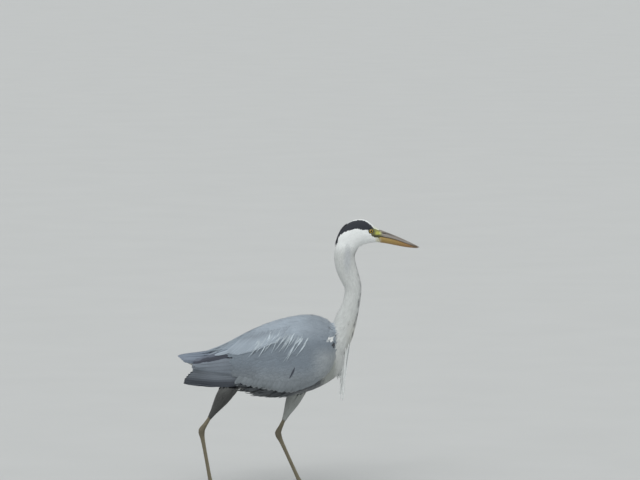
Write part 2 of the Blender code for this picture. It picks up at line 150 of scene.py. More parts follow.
# --- Markings ---------------------------------------------------------------------------------------
# Black crown stripe above the eye: its lower edge (x, z) and half the width of the white crown (x, y).
CROWN_EDGE = [(97, 652), (102, 663), (109, 673), (118, 682), (129, 687), (143, 691), (155, 694),
              (171, 690.5), (183, 690.5), (192, 690), (198, 693.5)]
WHITE_CROWN = [(121, 0), (135, 4), (150, 6.5), (170, 8.5), (195, 10.5)]
CROWN_FRONT = 198.0
# The grey mantle lies behind and above this line (x, z); the neck and breast beyond it are white.
MANTLE_EDGE = [(-260, 330), (-200, 338), (-100, 330), (40, 330), (80, 352), (91, 395), (95, 425),
               (90, 437), (84, 449)]
# How far the belly's underside rises above its lowest level (x, z).
BELLY_RISE = [(-230, -24), (-150, -10), (-60, 0), (40, -8), (80, -25)]
# The wing's front edge (z, x), and how near the middle the wing's grey comes (z, y).
WING_FRONT = [(260, 52), (277, 58), (308, 82), (335, 93), (356, 99), (400, 100), (425, 97), (439, 92),
              (449, 86)]
WING_INNER = [(380, 40), (400, 35), (420, 22), (432, 8), (440, -5)]
# Spots in side view: centre (x, z) and half sizes.
NECK_SHADE = ((130, 612), (9, 34))
FOREHEAD_SPOT = ((208, 697), (11, 7))
CHIN_SPOT = ((213, 664), (8, 7))
CARPAL_WHITE = ((85.5, 402), (7.6, 7.4))
CARPAL_BLACK = ((93.5, 389), (3.6, 8.5))
GAPE_LINE = ((206, 673.6), (18, 3.6))
BRIGHT_SPOT = ((211, 681.5), (7.5, 4.2))  # the yellowest place of the lores
# Painted shade on the lores next to the eye.
EYE_SOCKET_SHADE = ((198, 683), (6, 11))
MALAR = ((217, 671), (6, 6))
LORES = ((206, 682), (17, 14.5))
LIDS = ((EYE[0], EYE[2]), (7.8, 7.8))
FORENECK_TICKS = 15
TOP_TICK = 636
TICK_SPACING = 17


def seeded(number):
    """A generator of random numbers of its own for each piece."""
    return np.random.default_rng(SEED + number)


def albedo(colour):
    """Linear reflectance of a display colour."""
    return (np.array(colour) / 255.0) ** 2.2


def smooth(low, high, value):
    """0 below low, 1 above high and a smooth rise between them."""
    share = np.clip((value - low) / (high - low), 0, 1)
    return share * share * (3 - 2 * share)


def mixed(colours, colour, share):
    """The row colours turned towards other reflectances by a share for each row."""
    return colours + (colour - colours) * np.asarray(share)[:, None]


def painted(colours, *layers):
    """The row colours turned towards display colours, each by its share, one layer after the other."""
    for colour, share in layers:
        colours = mixed(colours, albedo(colour), share)
    return colours


def evenly(colour, points):
    """The same display colour's reflectance for each of the points."""
    return np.tile(albedo(colour), (len(points), 1))


def sided(points):
    """Each point's place along the bird, its distance from the middle plane and its height."""
    return points[:, 0], np.abs(points[:, 1]), points[:, 2]


def along(table, values):
    """Linear reading of a table of (place, value) rows."""
    places, readings = zip(*sorted(table))
    return np.interp(values, places, readings)


def ellipse(points, spot, soft=0.35):
    """1 inside an upright ellipse in side view, falling to 0 at its rim."""
    (x, z), (wide, high) = spot
    away = np.hypot((points[:, 0] - x) / wide, (points[:, 2] - z) / high)
    return 1 - smooth(1 - soft, 1 + soft, away)


def foreneck_ticks(points):
    """Two broken rows of dark ticks beside the middle of the foreneck and down to the breast."""
    x, y, z = sided(points)
    front = smooth(124, 134, x + 0.28 * np.clip(430 - z, 0, 200))
    share = np.zeros(len(points))
    for row in range(FORENECK_TICKS):
        level = TOP_TICK - row * TICK_SPACING + 5 * math.sin(row * 2.3)
        aside = 4.6 + 1.8 * math.sin(row * 1.7) + 0.030 * (640 - level)
        strength = 0.3 + 0.45 * float(smooth(560, 480, np.array(level)))
        tick = np.exp(-(((z - level) / 5.5) ** 4)) * np.exp(-(((y - aside) / 2.7) ** 2))
        share = np.maximum(share, strength * tick)
    return share * front


def head_and_neck(points):
    """White face and neck, a faint grey hindneck, the black crown stripes and the foreneck's ticks."""
    x, y, z = sided(points)
    crown = (z > along(CROWN_EDGE, x)) * (y > along(WHITE_CROWN, x)) * (x < CROWN_FRONT)
    nape = smooth(7.5, 6.0, y + smooth(662, 700, z) * -8) * smooth(112, 106, x) * smooth(649, 655, z)
    return painted(
        evenly(WHITE, points),
        (NECK_GREY, smooth(655, 620, z)),
        (NECK_SIDE, 0.55 * ellipse(points, NECK_SHADE, 0.6)),
        (CREAM, 0.5 * smooth(118, 150, x) * smooth(470, 400, z)),
        (BELLY, smooth(108, 92, x) * smooth(370, 330, z)),
        (FOREHEAD, 0.8 * ellipse(points, FOREHEAD_SPOT, 0.4)),
        (CHIN, 0.7 * ellipse(points, CHIN_SPOT, 0.5)),
        (NEAR_BLACK, foreneck_ticks(points)),
        (NEAR_BLACK, np.maximum(crown, nape) * smooth(636, 642, z)),
    )


def plumage_colour(points):
    """Reflectance of skin and feathers at places on the bird."""
    x, y, z = sided(points)
    behind = smooth(2, -2, x - along(WING_FRONT, z))
    grey = smooth(-2, 2, z - along(MANTLE_EDGE, x)) * behind * smooth(452, 446, z - smooth(80, 40, x) * 30)
    wing = smooth(262, 300, z + smooth(40, 70, y) * 60) * behind * smooth(-2, 2, y - along(WING_INNER, z))
    mantle = painted(evenly(MANTLE_DEEP, points), (MANTLE, smooth(400, 455, z)))
    side = painted(
        evenly(WING_LOW, points),
        (WING_GREY, smooth(290, 345, z)),
        (MANTLE, smooth(385, 435, z)),
        (WING_FORE, 0.8 * smooth(20, 75, x) * smooth(395, 350, z)),
    )
    colours = mixed(mixed(head_and_neck(points), mantle, grey), side, wing * smooth(250, 262, z))
    # Painted shade darkens the front of the mantle; the wing is also darker low at its rear.
    mantle_front_shade = 0.24 * grey * smooth(-10, 45, x) * smooth(395, 430, z)
    rear = 0.20 * wing * smooth(-95, -130, x) * smooth(350, 325, z)
    # The dark flank band is the black flank stripe with painted shade under the wing; behind the coverts it
    # reaches over the whole side as painted shadow.
    high = 300 - 8 * smooth(-140, -165, x)
    flank = smooth(9, 15, y) * smooth(10, 0, z - high) * smooth(75, 55, x) * smooth(-235, -215, x)
    flank = flank * np.maximum(smooth(56, 48, y), smooth(-158, -168, x))
    return painted(
        colours * (1 - mantle_front_shade - rear)[:, None],
        (FLANK_BLACK_AND_SHADE, flank * smooth(236, 242, z + along(BELLY_RISE, x))),
        (WHITE, ellipse(points, CARPAL_WHITE, 0.15) * smooth(38, 44, y)),
        (NEAR_BLACK, ellipse(points, CARPAL_BLACK, 0.15) * smooth(30, 34, y)),
    )


def bare_share(points):
    """1 on the bare lores between eye and bill, fading into the feathers."""
    return ellipse(points, LORES, 0.12) * smooth(4, 7, np.abs(points[:, 1]))


def lid_share(points):
    """1 round the eyes, where the skin runs up to the lids."""
    return ellipse(points, LIDS, 0.15) * smooth(6, 9, np.abs(points[:, 1]))


def skin_colour(points, bare):
    """The plumage's colours, with greenish yellow lores, brighter before the eye, painted shade next to the
    eye and dark at the gape.
    """
    return painted(
        plumage_colour(points),
        (LORE, bare),
        (LORE_BRIGHT, bare * ellipse(points, BRIGHT_SPOT, 0.6)),
        (GAPE_AND_EYE_SHADE, 0.6 * bare * ellipse(points, EYE_SOCKET_SHADE, 0.6)),
        (LID, lid_share(points)),
        (LORE, ellipse(points, MALAR, 0.4)),
        (GAPE_AND_EYE_SHADE, 0.95 * bare * ellipse(points, GAPE_LINE, 0.6)),
    )


# --- Surfaces ---------------------------------------------------------------------------------------
def add(name, data):
    """An object in the scene that shows a mesh, a light or a camera."""
    made = bpy.data.objects.new(name, data)
    bpy.context.scene.collection.objects.link(made)
    return made


def joined(name, nodes):
    """One object with copies of the CAD nodes' meshes."""
    shape = bmesh.new()
    for node in nodes:
        shape.from_mesh(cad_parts[node].data)
    mesh = bpy.data.meshes.new(name)
    shape.to_mesh(mesh)
    shape.free()
    return add(name, mesh)


def remeshed(name, nodes, voxel, rounds, change=None):
    """The nodes, their points changed first if asked, as one even, smooth surface.

    voxel is in millimetres."""
    made = joined(name, nodes)
    if change:
        move_to(made.data, change(places(made.data)))
    even = made.modifiers.new("even", "REMESH")
    even.mode = "VOXEL"
    even.voxel_size = voxel * MM
    soft = made.modifiers.new("soft", "SMOOTH")
    soft.factor = 0.5
    soft.iterations = rounds
    finished = made.evaluated_get(bpy.context.evaluated_depsgraph_get())
    mesh = bpy.data.meshes.new_from_object(finished)
    mesh.shade_smooth()
    made.modifiers.clear()
    made.data = mesh
    return made


def read(items, key, width, kind=float):
    """What a mesh's vertices, edges, loops or triangles hold under a key, in rows of that width."""
    values = np.empty(len(items) * width, kind)
    items.foreach_get(key, values)
    return values.reshape(-1, width)


def write(items, key, values, kind=np.float32):
    """Gives a mesh's vertices, loops or faces their values under a key."""
    items.foreach_set(key, values.ravel().astype(kind))


def places(mesh):
    """The mesh's vertices in millimetres."""
    return read(mesh.vertices, "co", 3) / MM


def move_to(mesh, points):
    write(mesh.vertices, "co", points * MM)
    mesh.update()


def outward(mesh):
    """The unit normal at each of the mesh's vertices."""
    return read(mesh.vertex_normals, "vector", 3)


def columns(*parts):
    """Rows made of numbers or arrays, one for each coordinate."""
    return np.stack(np.broadcast_arrays(*parts), -1)


def unit(rows):
    return rows / np.maximum(np.linalg.norm(rows, axis=-1, keepdims=True), 1e-9)


class Surface:
    """Triangles that say which of their points is nearest, and which way is out there."""

    def __init__(self, mesh):
        mesh.calc_loop_triangles()
        self.faces = read(mesh.loop_triangles, "vertices", 3, np.int32)
        self.points = places(mesh)
        self.normals = outward(mesh)
        self.tree = BVHTree.FromPolygons(self.points.tolist(), self.faces.tolist(), all_triangles=True)

    def weights(self, points, face):
        """Barycentric weights of points on their faces."""
        a, b, c = (self.points[self.faces[face, k]] for k in range(3))
        ab, ac, ap = b - a, c - a, points - a
        d00, d01, d11 = (ab * ab).sum(1), (ab * ac).sum(1), (ac * ac).sum(1)
        d20, d21 = (ap * ab).sum(1), (ap * ac).sum(1)
        room = np.maximum(d00 * d11 - d01 * d01, 1e-12)
        v = (d11 * d20 - d01 * d21) / room
        w = (d00 * d21 - d01 * d20) / room
        return np.clip(np.stack([1 - v - w, v, w], 1), 0, 1)

    def nearest(self, points):
        """For rows of points: the nearest places on the surface, the unit normals and the faces there."""
        found = [self.tree.find_nearest(Vector(point)) for point in points.tolist()]
        spots = np.array([tuple(hit[0]) for hit in found])
        face = np.array([hit[2] for hit in found])
        share = self.weights(spots, face)
        return spots, unit((self.normals[self.faces[face]] * share[:, :, None]).sum(1)), face

    def falls(self, starts, ways, reach=1000.0):
        """How far each start lies from the surface along its way, or nan where it misses it."""
        ways = np.broadcast_to(ways, starts.shape)
        rays = zip(starts.reshape(-1, 3).tolist(), ways.reshape(-1, 3).tolist())
        found = [self.tree.ray_cast(Vector(start), Vector(way), reach)[3] for start, way in rays]
        return np.array(found, float).reshape(starts.shape[:-1])


# --- The field of directions ------------------------------------------------------------------------
def mirrored(rows):
    """Guides for both sides of the bird as arrays of places, ways and spacings."""
    rows = np.array(rows, float)
    other_side = rows[rows[:, 1] != 0] * [1, -1, 1, 1, -1, 1, 1]
    both = np.concatenate([rows, other_side])
    return both[:, :3], unit(both[:, 3:6]), both[:, 6]


GUIDES = mirrored(LIE)


def lie_at(points):
    """The way feathers point and their spacing at each of the points."""
    way = np.zeros((len(points), 3))
    gap = np.zeros(len(points))
    total = np.zeros(len(points))
    for spot, guide_way, guide_gap in zip(*GUIDES):
        near = 1 / (((points - spot) ** 2).sum(1) + LIE_REACH**2) ** 2
        total += near
        way += near[:, None] * guide_way
        gap += near * guide_gap
    return unit(way), gap / total


def flat_to(ways, normals):
    """Directions laid flat on surfaces with those normals."""
    return unit(ways - (ways * normals).sum(-1, keepdims=True) * normals)


def turned(ways, normals, angle):
    """Directions turned about the normals by an angle for each row."""
    return ways * np.cos(angle)[:, None] + np.cross(normals, ways) * np.sin(angle)[:, None]


def lay(surface, roots, lengths, shares, yaw, ways=None):
    """Lines that start at roots and run over a surface, with points at shares of their lengths.

    They follow the field of directions, or the given ways. Returns points, ways ahead and normals,
    each with one row for a line and one column for a share."""
    spot, normal, _ = surface.nearest(roots)
    start = lie_at(spot)[0] if ways is None else ways
    ahead = turned(flat_to(start, normal), normal, yaw)
    line, aims, normals = [spot], [ahead], [normal]
    for before, share in zip(shares, shares[1:]):
        reach = spot + ahead * (lengths * (share - before))[:, None]
        spot, normal, _ = surface.nearest(reach)
        aim = ahead if ways is not None else ahead * (1 - FOLLOW) + lie_at(spot)[0] * FOLLOW
        ahead = flat_to(aim, normal)
        line.append(spot)
        aims.append(ahead)
        normals.append(normal)
    return np.stack(line, 1), np.stack(aims, 1), np.stack(normals, 1)


def tree_of(points):
    """A tree that finds neighbours among points."""
    tree = KDTree(len(points))
    for i, point in enumerate(points.tolist()):
        tree.insert(point, i)
    tree.balance()
    return tree


CROWD = 6  # places tried for each one that a surface holds


def scattered(surface, allowed):
    """Places on a surface, no two closer than the local spacing, and the spacing at each."""
    rng = seeded(0)
    corners = surface.points[surface.faces]
    area = np.linalg.norm(np.cross(corners[:, 1] - corners[:, 0], corners[:, 2] - corners[:, 0]), axis=1) / 2
    middles = corners.mean(1)
    weight = area / lie_at(middles)[1] ** 2 * allowed(middles)
    count = int(weight.sum() * CROWD)
    face = rng.choice(len(area), count, p=weight / weight.sum())
    u, v = rng.random((2, count))
    over = u + v > 1
    u[over], v[over] = 1 - u[over], 1 - v[over]
    a, b, c = corners[face, 0], corners[face, 1], corners[face, 2]
    points = a + (b - a) * u[:, None] + (c - a) * v[:, None]
    gaps = lie_at(points)[1]
    tree = tree_of(points)
    kept = np.ones(count, bool)
    for i in range(count):
        if kept[i]:
            for _, j, _ in tree.find_range(points[i], gaps[i]):
                if j > i:
                    kept[j] = False
    return points[kept], gaps[kept]


# --- Feathers ---------------------------------------------------------------------------------------
def outline(shares, root, widest, blunt):
    """Half width of a feather along its length, from root at the start to 1, then down to its tip."""
    rise = root + (1 - root) * smooth(0, widest, shares)
    fall = np.clip((shares - widest) / (1 - widest), 0, 1)
    return rise * (1 - fall**blunt) ** (1 / blunt if blunt > 1.5 else 0.85)


def band(rows, steps, closed=False):
    """Corner numbers of the faces between rings of points; closed joins the last ring to the first."""
    faces = []
    for k in range(rows if closed else rows - 1):
        after = (k + 1) % rows
        for i in range(steps):
            j = (i + 1) % steps
            faces.append((k * steps + i, k * steps + j, after * steps + j, after * steps + i))
    return faces


def vane_faces(stations, across):
    """Corner numbers of the faces of one closed vane: its sides, its tip and its root."""
    size = 2 * across - 2
    last = (stations - 1) * size
    tip = stations * size
    around_tip = [(last + i, last + (i + 1) % size, tip) for i in range(size)]
    return band(stations, size) + around_tip + [tuple(range(size))[::-1]]


def eased(count, power, end):
    """Shares of a feather's length from 0 to end, closer together towards the tip."""
    return (1 - (1 - np.linspace(0, 1, count)) ** power) * end


def spread_out(line, ahead, normal, left, right, across, camber):
    """Rows of points from a vane's right edge to its left edge at each station; the edges curve down."""
    v = np.linspace(-1, 1, across)
    side = np.cross(normal, ahead)
    half = np.where(v > 0, left[..., None], right[..., None])
    rows = line[:, :, None] + side[:, :, None] * (half * v)[..., None]
    return rows - normal[:, :, None] * (camber * half * v**2)[..., None]


def closed_vanes(name, base, normal, ends, thick, shaft):
    """One mesh of closed vanes over grids of points: thick in the middle, thin at the edges.

    base has a row for a vane, a column for a station and a layer for a place across; normal is the way
    out there and ends are the tips. Also returns the corners and each vertex's place across, -1 to 1."""
    number, stations, across = base.shape[:3]
    v = np.linspace(-1, 1, across)
    crown = thick * (1 - v**2)
    rachis = shaft * np.exp(-((v / 0.12) ** 2))
    top = base + normal * (crown + rachis)[:, None]
    inner = slice(across - 2, 0, -1)
    low = base - normal * (crown * 0.7)[:, None]
    rings = np.concatenate([top, low[:, :, inner]], 2).reshape(number, -1, 3)
    points = np.concatenate([rings, ends[:, None]], 1)
    size = points.shape[1]
    faces = vane_faces(stations, across)
    corners = np.concatenate([np.array(face) for face in faces])
    corners = (np.arange(number)[:, None] * size + corners).ravel()
    lengths = np.array([len(face) for face in faces])
    starts = np.concatenate([[0], np.cumsum(np.tile(lengths, number))[:-1]])
    mesh = bpy.data.meshes.new(name)
    mesh.vertices.add(number * size)
    write(mesh.vertices, "co", points * MM)
    mesh.loops.add(len(corners))
    write(mesh.loops, "vertex_index", corners, np.int32)
    mesh.polygons.add(len(starts))
    write(mesh.polygons, "loop_start", starts, np.int32)
    mesh.update(calc_edges=True)
    mesh.shade_smooth()
    share_v = np.append(np.tile(np.concatenate([v, v[inner]]), stations), 0.0)
    at_rim = np.tile((np.abs(share_v) > 0.99) | (np.arange(size) == size - 1), number)
    sharp = at_rim[read(mesh.edges, "vertices", 2, np.int32)].all(1)
    write(mesh.attributes.new("sharp_edge", "BOOLEAN", "EDGE").data, "value", sharp, bool)
    return mesh, corners, share_v


def shade(mesh, colours):
    """Stores each vertex's reflectance."""
    full = np.concatenate([np.clip(colours, 0.004, 0.95), np.ones((len(colours), 1))], 1)
    write(mesh.color_attributes.new("plumage", "FLOAT_COLOR", "POINT").data, "color", full)


def give_map(mesh, name, coordinates):
    write(mesh.uv_layers.new(name=name).data, "uv", coordinates)


def dressed(made, slot, material, *nodes):
    """A piece with its material, riding on the body in the place of the CAD nodes. The slot is not used."""
    made.data.materials.clear()
    made.data.materials.append(material)
    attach(made, "root")
    if nodes:
        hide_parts(*nodes)
    return made


PATCH = 0.003  # side of one feather's patch on the skin's unwrap
TINTED_AT = 0.7  # how far along it the place lies that gives a feather its colour


def coat_piece(name, slot, grid, normal, ends, thick, shares, looks, rng, tint=None, shaft=0.0, nodes=()):
    """A piece of closed vanes with its colours, its maps and its material, in the place of the CAD nodes.

    looks holds how much paler the fringe and how much darker the root, the shaft and the tip are."""
    number, stations, across = grid.shape[:3]
    mesh, corners, share_v = closed_vanes(name, grid, normal, ends, thick, shaft)
    share_t = np.append(np.repeat(shares, 2 * across - 2), 1.0)
    middle = grid[:, :, across // 2]
    seen = middle[:, int(stations * TINTED_AT)]
    colour = plumage_colour(seen) if tint is None else tint(seen)
    colour = colour * rng.uniform(1 - looks["vary"], 1 + looks["vary"], (number, 1))
    fringe = 1 + looks["fringe"] * (np.abs(share_v) ** 3 * 0.6 + smooth(0.7, 1, share_t) * 0.7)
    root = 1 - looks["root"] * (1 - smooth(0.05, 0.55, share_t))
    core = 1 - looks["core"] * np.exp(-((share_v / 0.15) ** 2))
    core = core - looks.get("tip", 0) * smooth(0.45, 1, share_t)
    shade(mesh, (colour[:, None] * (fringe * root * core)[None, :, None]).reshape(-1, 3))
    patch = np.stack([share_v * 0.5, share_t - 0.5], 1) * PATCH
    bake = unwrapped_at(grid[:, 0, across // 2])[:, None] + patch[None]
    give_map(mesh, "OFBake", bake.reshape(-1, 2)[corners])
    long = np.linalg.norm(middle[:, -1] - middle[:, 0], axis=1)
    wide = np.linalg.norm(grid[:, stations // 2, 0] - grid[:, stations // 2, -1], axis=1) / 2
    barbs = columns(share_v[None] * wide[:, None], share_t[None] * long[:, None]).reshape(-1, 2)
    give_map(mesh, "vane", barbs[corners] / 10)
    return dressed(add(name, mesh), slot, FEATHER_MATERIALS[slot], *nodes)


def contour(name, slot, surface, roots, gaps, kind, seed, tint=None, ways=None, lengths=None, widths=None,
            nodes=()):
    """Contour feathers laid over a surface, one from each root, as one piece."""
    rng = seeded(seed)
    number, stations = len(roots), kind["stations"]
    shares = eased(stations, 1.5, 0.97)
    gaps = np.broadcast_to(gaps, number)
    lengths = (gaps * kind["length"] if lengths is None else lengths) * rng.uniform(0.88, 1.12, number)
    half = (gaps * kind["half"] if widths is None else widths) * rng.uniform(0.9, 1.1, number)
    yaw = rng.normal(0, kind["stray"], number)
    line, ahead, normal = lay(surface, roots, lengths, shares, yaw, ways)
    depth = gaps * kind["sink"]
    lift = kind["lift"] * rng.uniform(0.5, 1.5, number) + loosened(roots)
    height = -depth[:, None] + (depth + lift)[:, None] * shares**0.8
    line = line + normal * height[..., None]
    profile = outline(shares, kind["start"], kind["widest"], kind["blunt"])
    left, right = half[:, None] * profile * (1 + kind["ragged"] * rng.uniform(-1, 0.4, (2, number, stations)))
    grid = spread_out(line, ahead, normal, left, right, kind["across"], kind["camber"])
    ends = line[:, -1] + ahead[:, -1] * (left[:, -1] + right[:, -1])[:, None] * 0.45
    facing = normal[:, :, None]
    return coat_piece(name, slot, grid, facing, ends, kind["thick"], shares, kind, rng, tint, nodes=nodes)


def row(table, count):
    """count values or points spaced along a table of them, as read by its row numbers."""
    table = np.array(table, float)
    at = np.linspace(0, 1, count) * (len(table) - 1)
    return np.apply_along_axis(lambda column: np.interp(at, np.arange(len(table)), column), 0, table)


STEEPEST = 0.45  # how fast a draped vane may fall away to its edges
NEAREST = 3.0  # what lies nearer the middle plane, or beyond it, belongs to the other side
SIDE_REACH = 160.0  # from how far aside the wings' feathers are draped
TAIL_REACH = 90.0


def draped(spots, ways, reach):
    """Spots moved onto the shell against their outward ways; those that miss it follow their neighbours.

    spots and ways have a row for a vane, a column for a station and a layer across."""
    drop = reach - shell.falls(spots + ways * reach, -ways, reach * 2)
    drop[drop < NEAREST] = np.nan
    for station in range(drop.shape[1]):
        column = drop[:, station]
        missed = np.isnan(column).all(1, keepdims=True)
        middle = np.nanmedian(np.where(missed, 0, column), axis=1, keepdims=True)
        before = drop[:, station - 1] if station else middle
        drop[:, station] = np.where(np.isnan(column), np.where(np.isnan(before), middle, before), column)
    centre = drop.shape[2] // 2
    spine = drop[:, :, centre]
    for _ in range(2):
        spine[:, 1:-1] = (spine[:, :-2] + 2 * spine[:, 1:-1] + spine[:, 2:]) / 4
    aside = np.linalg.norm(spots - spots[:, :, centre : centre + 1], axis=-1)
    tilt = np.clip(drop - spine[..., None], -STEEPEST * aside, STEEPEST * aside)
    return spots + ways * (spine[..., None] + tilt)[..., None]


def tips_of(grid, back, reach):
    """The ends of vanes: beyond the middle of the last station, on from the station so many back."""
    middle = grid[:, :, grid.shape[2] // 2]
    return middle[:, -1] + unit(middle[:, -1] - middle[:, -1 - back]) * reach


def split_edges(rng, number, stations, depth):
    """Width factors with a few notches where the barbs have parted."""
    factors = np.ones((2, number, stations))
    notches = rng.random((2, number, stations)) < 0.16
    factors[notches] -= depth * rng.random(notches.sum())
    factors[:, :, 0] = 1
    return factors


QUILL_LOOKS = {"vary": 0.05, "fringe": 0.10, "root": 0.25, "core": 0.18}
SOFT_LOOKS = {"vary": 0.03, "fringe": 0.05, "root": 0.06, "core": 0.05}
COVERT_LOOKS = {"vary": 0.05, "fringe": 0.08, "root": 0.06, "core": 0.08}
PRIMARY_LOOKS = {"vary": 0.08, "fringe": 0.08, "root": 0.15, "core": 0.18, "tip": 0.3}


def quills(name, slot, sign, bases, tips, halves, bend, heights, tint, seed, blunt=2.2, stations=15, across=9,
           thick=0.45, shaft=0.3, tilt=0.0, looks=QUILL_LOOKS, widest=0.45, deep=1.5, nodes=()):
    """Long stiff feathers in one row, draped sideways onto the wing, in the place of the CAD nodes.

    bases and tips are (x, z) rows; halves are the half widths; heights are how far each one's tip lies
    off the surface and deep is how far its base lies under it; bend is how far its middle bows up; tilt
    lifts one edge over the next feather."""
    rng = seeded(seed)
    number = len(bases)
    t = eased(stations, 1.4, 0.985)
    chord = tips - bases
    across_way = unit(columns(-chord[:, 1], chord[:, 0])) * -np.sign(chord[:, :1])
    bow = (4 * t * (1 - t))[None, :, None] * bend * across_way[:, None]
    spine = bases[:, None] + chord[:, None] * t[None, :, None] + bow
    along_way = unit(np.gradient(spine, axis=1))
    side = columns(along_way[..., 1], -along_way[..., 0])
    profile = outline(t, 0.45, widest, blunt)
    left, right = np.reshape(halves, (-1, 1)) * profile * split_edges(rng, number, stations, 0.22)
    v = np.linspace(-1, 1, across)
    half = np.where(v > 0, left[..., None], right[..., None])
    flat = spine[:, :, None] + side[:, :, None] * (half * v)[..., None]
    spots = columns(flat[..., 0], 0.0, flat[..., 1])
    ways = np.broadcast_to(np.array([0.0, sign, 0.0]), spots.shape)
    grid = draped(spots, ways, SIDE_REACH)
    rise = np.reshape(heights, (-1, 1)) * (t**0.7)[None] - deep * (1 - t)[None] ** 2
    grid = grid + ways * (rise[..., None] + tilt * v * np.sign(chord[0, 0]) * -1)[..., None]
    ends = tips_of(grid, 1, (left[:, -1] + right[:, -1])[:, None] * 0.5)
    return coat_piece(name, slot, grid, ways, ends, thick, t, looks, rng, tint, shaft, nodes)


# --- Materials --------------------------------------------------------------------------------------
class Nodes:
    """A short way to build a material's node tree."""

    def __init__(self, name):
        self.material = bpy.data.materials.new(name)
        self.material.use_nodes = True
        self.tree = self.material.node_tree
        self.shader = self.tree.nodes["Principled BSDF"]

    def add(self, kind, settings=None, **inputs):
        """A node with its settings and its inputs."""
        node = self.tree.nodes.new(kind)
        for key, value in (settings or {}).items():
            setattr(node, key, value)
        for key, value in inputs.items():
            self.plug(node, key, value)
        return node

    def plug(self, node, key, value):
        """A node's input, by its name or as _0 by its number, fed by a socket or set to a value."""
        socket = node.inputs[int(key[1:])] if key[0] == "_" else node.inputs[key.replace("_", " ")]
        if isinstance(value, bpy.types.NodeSocket):
            self.tree.links.new(value, socket)
        else:
            socket.default_value = value

    def math(self, operation, *values, clamp=False):
        values = {f"_{i}": value for i, value in enumerate(values)}
        return self.add("ShaderNodeMath", {"operation": operation, "use_clamp": clamp}, **values).outputs[0]

    def place(self):
        """Places in metres."""
        return self.add("ShaderNodeTexCoord").outputs["Object"]

    def noise(self, scale, detail=3.0, rough=0.55, vector=None):
        place = vector or self.place()
        node = self.add("ShaderNodeTexNoise", Scale=scale, Detail=detail, Roughness=rough, Vector=place)
        return node.outputs["Fac"]

    def spread(self, value, low, high):
        """A 0 to 1 value turned into low to high."""
        return self.add("ShaderNodeMapRange", Value=value, To_Min=low, To_Max=high).outputs["Result"]

    def scaled(self, colour, factor):
        """A colour times a value."""
        node = self.add("ShaderNodeVectorMath", {"operation": "SCALE"}, _0=colour, Scale=factor)
        return node.outputs["Vector"]

    def stored(self):
        """The reflectance that shade() stored on the mesh."""
        return self.add("ShaderNodeVertexColor", {"layer_name": "plumage"}).outputs["Color"]

    def ramp(self, value, stops):
        """Display colours that a 0 to 1 value runs through, from rows of (place, colour)."""
        node = self.add("ShaderNodeValToRGB", Fac=value)
        elements = node.color_ramp.elements
        elements.remove(elements[1])
        for place, _ in stops[1:]:
            elements.new(place)
        for element, (_, colour) in zip(elements, stops):
            element.color = (*albedo(colour), 1)
        return node.outputs["Color"]

    def finished(self, colour, roughness, bump=None, **settings):
        """The material with its colour, its roughness, a bump (height, strength, metres) and settings."""
        if bump:
            height, strength, distance = bump
            relief = self.add("ShaderNodeBump", Height=height, Strength=strength, Distance=distance)
            settings["Normal"] = relief.outputs["Normal"]
        for key, value in {"Base_Color": colour, "Roughness": roughness, **settings}.items():
            self.plug(self.shader, key, value)
        return self.material


FINISH = {  # roughness, sheen, the depth of the barbs in metres and how close they stand
    "plumage_mantle": (0.62, 0.30, 0.00016, 95.0),
    "plumage_wing": (0.60, 0.28, 0.00016, 95.0),
    "plumage_flight": (0.48, 0.12, 0.00014, 85.0),
    "plumage_pale": (0.72, 0.35, 0.00006, 150.0),
    "plumage_black": (0.50, 0.15, 0.00008, 140.0),
}


def feather_material(slot):
    """Vane of a feather: barbs that run out and forward from the shaft, soft sheen, mottled tone."""
    roughness, sheen, relief, pitch = FINISH[slot]
    made = Nodes(slot)
    colour = made.stored()
    place = made.add("ShaderNodeUVMap", {"uv_map": "vane"}).outputs["UV"]
    parts = made.add("ShaderNodeSeparateXYZ", Vector=place).outputs
    aside = made.math("MULTIPLY", made.math("ABSOLUTE", parts["X"]), -1.1)
    slant = made.math("ADD", aside, parts["Y"])
    wobble = made.math("MULTIPLY", made.noise(60, 2), 5.0)
    stripe = made.math("SINE", made.math("MULTIPLY_ADD", slant, pitch, wobble))
    barbs = made.spread(stripe, 0.0, 1.0)
    tone = made.math("MULTIPLY", made.spread(made.noise(38, 4), 0.86, 1.12), made.spread(barbs, 0.955, 1.02))
    return made.finished(
        made.scaled(colour, tone), made.spread(made.noise(90), roughness - 0.06, roughness + 0.08),
        (barbs, 0.6, relief), Sheen_Weight=sheen, Sheen_Roughness=0.45, Specular_IOR_Level=0.35,
    )


def skin_material():
    """Down and skin under the feathers: the plumage's colours, slightly darker, with a fine fluff."""
    made = Nodes("skin")
    fluff = made.noise(700, 5, 0.7)
    colour = made.scaled(made.stored(), made.spread(fluff, 0.7, 1.0))
    roughness = made.spread(made.noise(200), 0.7, 0.95)
    return made.finished(colour, roughness, (fluff, 0.7, 0.0006), Sheen_Weight=0.2)


FEATHER_MATERIALS = {slot: feather_material(slot) for slot in FINISH}


# --- Camera, light and floor ------------------------------------------------------------------------
CAMERA_TARGET = Vector((0.0579, 0.0, 0.6625))
CAMERA_ELEVATION = math.radians(4.5)
CAMERA_DISTANCE = 14.0
VIEW_WIDTH = 1.696  # metres across the frame at the bird
FLOOR_HALF = 120
PAPER_DARK = (0.52, 0.53, 0.52, 1)
PAPER_PALE = (0.56, 0.57, 0.56, 1)
LAMPS = [  # name, strength, angular size and turn in degrees
    ("key", 1.9, 60, (38, 0, -25)),
    ("fill", 0.5, 90, (60, 0, 60)),
    ("spark", 0.12, 7, (52, 0, -20)),
    ("spark_behind", 0.08, 7, (-52, 0, 20)),
]


